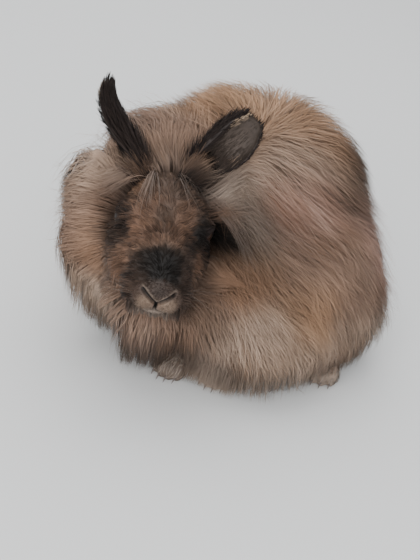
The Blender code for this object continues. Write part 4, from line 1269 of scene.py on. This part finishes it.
ear_parts = []
for side in ("left", "right"):
    outer, inner, share = ear_skins[side]
    place, ahead, look, across = ear_frame(side, share)
    left = side == "left"
    for sheet, count, length, shade, wide, rows, columns in (
        (outer, back_count, 8.0, ear_dark, 0.34, (0, 67), (1, 39)),
        (inner, 1000, 5.0, (72, 62, 55), 0.18, (0, 67), (1, 39)),
        (inner, 600, 10.5, (64, 54, 48), 0.2, (0, 26), (1, 39)),
        (inner, 320, 8.0, (158, 136, 114), 0.16, (44, 66), (1, 15) if left else (31, 39)),
    ):
        i, j = coat_rng.integers(*rows, count), coat_rng.integers(*columns, count)
        s, t = coat_rng.random((2, count, 1))
        corner, further, beside = sheet[i, j], sheet[i + 1, j], sheet[i, j + 1]
        roots = corner * (1 - s) + further * s + (beside - corner) * t
        out = unit(np.cross(beside - corner, further - corner))
        out = out * np.sign((out * (roots - place[i])).sum(-1, keepdims=True))
        out = out if sheet is outer else -out
        rootward = ramp(share[i], 0.5, 0) * (sheet is outer)
        bare_edge = np.clip((j / ear_arc - 0.72) / 0.2, 0, 1) * left * (sheet is outer)
        reach = length * coat_rng.uniform(0.6, 1.3, count) * (1 + (1.3 if left else 2.2) * rootward)
        reach = reach * (1 - 0.75 * bare_edge) * (1 - 0.5 * np.clip(share[i] / 0.2 - 3.75, 0, 1))
        reach = reach[:, None, None]
        way = unit(ahead[i] + across[i] * coat_rng.normal(0, 0.16 + 0.3 * rootward, count)[:, None])
        lift = (0.28 + 0.3 * rootward)[:, None, None] * short_steps - 0.12 * short_steps ** 2
        lines = roots[:, None] + way[:, None] * reach * short_steps + out[:, None] * reach * lift
        tone = linear(shade) * (1 + 1.2 * np.clip(0.3 - share[i], 0, 1)[:, None])
        spots = ear_spots(side, j / ear_arc, share[i])
        ear_parts.append(tufts(
            lines, np.repeat(out[:, None], 4, 1), spots, (0.6, 1.2), tone, lock=0.4, scale=wide,
            taper=short_taper,
        ))
    # Hair that wraps the root and rises from the crown round it.
    turn, radial = round_root(wrap_count)
    reach = coat_rng.uniform(0.6, 1.3, (wrap_count, 1, 1))
    low = coat_rng.uniform(0.5, 4.0, (wrap_count, 1, 1))
    dip = low * np.sin(np.pi * long_steps) + 1 - 16 * reach * long_steps ** 2
    bow = 1 + (7.6 + 1.5 * reach) * np.sin(np.pi / 2 * long_steps ** 0.8)
    lines = place[0] - ahead[0] * dip + radial[:, None] * bow
    lines = lines + coat_rng.normal(0, 0.8, (wrap_count, 1, 3)) * long_steps
    ear_parts.append(tufts(
        lines, np.repeat(radial[:, None], 5, 1), ear_spots(side, turn / 7, 0.0), (0.12, 0.28),
        blend(markings(lines), linear((48, 39, 35)), 0.5), own=0.6, lock=0.4,
    ))
    # Tufts on the crown round the root, which lean to the ear and hide where it grows out.
    turn, radial = round_root(root_count)
    roots = place[0] + radial * coat_rng.uniform(4, 13, (root_count, 1))
    roots = roots - slope_of(head_shape, roots) * (head_shape(roots) + 1.5)[:, None]
    reach = coat_rng.uniform(14, 27, (root_count, 1, 1))
    way = ahead[14] + coat_rng.normal(0, 0.16, (root_count, 3))
    lines = roots[:, None] + way[:, None] * reach * long_steps
    lines = lines + radial[:, None] * reach * 0.22 * long_steps ** 2
    slopes = np.repeat(radial[:, None], 5, 1)
    lines, slopes, nearest = gathered(lines, slopes, root_count // 12, 0.4, 0.3)
    colour = blend(linear((50, 41, 37)), markings(lines), long_steps ** 2)
    spots = ear_spots(side, turn / 7, 0.1)
    ear_parts.append(tufts(
        lines, slopes, spots, (0.1, 0.24), colour, own=0.6, lock=0.5, nearest=nearest
    ))
    # The fringe along both edges, with some cream hairs towards the tip of the outer one.
    for edge, outward in ((0, -1), (ear_arc - 1, 1)):
        i = coat_rng.integers(10, ear_rows - 1, edge_count)
        roots = (outer[i, edge] + inner[i, edge]) / 2 + coat_rng.normal(0, 0.35, (edge_count, 3))
        short = 0.35 if left and outward == 1 else 1.0
        reach = short * coat_rng.uniform(3, 8, edge_count) * (1.25 - 0.8 * share[i])
        reach = reach[:, None, None]
        over = unit(outer[i, edge] - outer[i, edge - outward * 3])
        way = ahead[i] * 1.2 + over * coat_rng.uniform(0.1, 0.8, (edge_count, 1))
        way = unit(way + look[i] * coat_rng.normal(0.1, 0.25, (edge_count, 1)))
        lines = roots[:, None] + way[:, None] * reach * short_steps
        lines = lines - look[i][:, None] * reach * 0.15 * short_steps ** 2
        cream = (outward == (-1 if left else 1)) * ramp(share[i], 0.66, 0.82)[:, None]
        cream = cream * (coat_rng.random((edge_count, 1)) < 0.4)
        ear_parts.append(tufts(
            lines, np.repeat(look[i][:, None], 4, 1), ear_spots(side, edge / ear_arc, share[i]),
            (0.14, 0.3), blend(linear(ear_dark), linear((190, 164, 136)), cream), lock=0.4,
            taper=short_taper,
        ))
make_piece("coat_ears", "ear_skin", face_material, *merged(ear_parts))

# Fur of the feet: dense and short, lying towards the toes, thicker between them. It grows from the
# skin of the four feet and stops 0.6 mm over the floor.
foot_parts = []
for part in ("foreleg_left", "foreleg_right", "hindleg_left", "hindleg_right"):
    side, hind = part.split("_")[1], part.startswith("hind")
    roots, spots = scattered(part, 900, lambda p: (p[..., 2] > 1.5) * 1.0)
    way = np.array([0, -1.0, -0.5]) @ foot_axes(side, hind)[1].T
    count = len(roots)
    lines, slopes = walked(
        roots, foot_field(side, hind), lambda p: way + 0.3 * coat_rng.normal(size=p.shape),
        coat_rng.uniform(4, 8, count), 0.0, coat_rng.uniform(0.5, 1.5, count), 3,
    )
    lines[..., 2] = np.maximum(lines[..., 2], 0.6)
    colour = blend(markings(roots), linear((142, 128, 116)), 0.75)
    foot_parts.append(tufts(lines, slopes, spots, (0.3, 0.5), colour, lock=0.3, taper=short_taper))
make_piece("coat_feet", "leg_fur", face_material, *merged(foot_parts))

# Whiskers: long fine bristles, pale and dark, from the pads beside the nose. They are blades like the
# tufts, more slender, and bend back and down.
whisker_material = hair_material("whisker", 0.0, 0.3, 0.3, 0.0, 0.3)
count, steps = 26, np.linspace(0, 1, 7)[None, :, None]
side = np.where(np.arange(count) % 2 == 0, 1.0, -1.0)
local = np.stack([
    side * (15 + coat_rng.normal(0, 1.5, count)),
    -52 + coat_rng.normal(0, 3.0, count),
    -18 + coat_rng.normal(0, 3.0, count),
], -1)
way = unit(np.stack([
    side * coat_rng.uniform(0.8, 1.2, count),
    coat_rng.uniform(-0.1, 0.7, count),
    coat_rng.uniform(-0.5, 0.35, count),
], -1))
reach = coat_rng.uniform(24, 46, count)[:, None, None]
lines = local[:, None] + way[:, None] * reach * steps + np.array([0, 0.25, -0.3]) * reach * steps ** 2
slopes = np.zeros((count, 7, 3)) + np.array([0, 0, 1.0])
dark = (np.arange(count) % 3 == 0)[:, None]
parts = tufts(
    from_head(lines), slopes, np.full((count, 2), 0.5), np.full(count, 0.06),
    np.where(dark, linear((60, 50, 44)), linear((124, 112, 102))), own=1, lock=np.zeros(count),
    taper=(1.0, 0.9, 0.75, 0.6, 0.45),
)
make_piece("whiskers", "face_fur", whisker_material, *parts)

# The plain pale floor that runs on behind, soft studio light from a large lamp overhead and a weaker
# one in front, and the camera where the photograph was taken from.
floor_mesh = bpy.data.meshes.new("floor")
floor_mesh.from_pydata([(-6, -6, 0), (6, -6, 0), (6, 6, 0), (-6, 6, 0)], [], [(0, 1, 2, 3)])
floor = bpy.data.objects.new("floor", floor_mesh)
bpy.context.scene.collection.objects.link(floor)
floor_mesh.materials.append(new_material("pale_floor", Base_Color=(0.7, 0.7, 0.69, 1), Roughness=0.8)[0])


def lamp(name, place, size, power):
    """A square soft lamp that looks at the middle of the rabbit."""
    data = bpy.data.lights.new(name, "AREA")
    data.size, data.energy = size, power
    lamp_object = bpy.data.objects.new(name, data)
    bpy.context.scene.collection.objects.link(lamp_object)
    lamp_object.location = place
    aim = Vector(np.array([0, 0, 0.08]) - np.array(place))
    lamp_object.rotation_euler = aim.to_track_quat("-Z", "Y").to_euler()


lamp("overhead", (-0.5, 0.4, 1.6), 1.8, 22)
lamp("front", (0.5, -1.6, 0.9), 1.8, 38)
world = bpy.data.worlds.new("studio")
world.use_nodes = True
world.node_tree.nodes["Background"].inputs["Color"].default_value = (0.9, 0.93, 0.97, 1)
world.node_tree.nodes["Background"].inputs["Strength"].default_value = 0.9
bpy.context.scene.world = world

camera_data = bpy.data.cameras.new("camera")
camera_data.sensor_fit, camera_data.sensor_width, camera_data.lens = "AUTO", 36, 64.3
camera = bpy.data.objects.new("camera", camera_data)
bpy.context.scene.collection.objects.link(camera)
camera_pitch, camera_round, camera_roll = 31.5, 27.0, 11.4
place = (np.array([272.6, -564.6, 430.0]) - middle) / 1000
axes = turning(2, camera_round) @ turning(0, 90 - camera_pitch) @ turning(2, camera_roll)
camera.matrix_world = np.vstack([np.column_stack([axes, place]), [0, 0, 0, 1]]).T.tolist()
bpy.context.scene.camera = camera
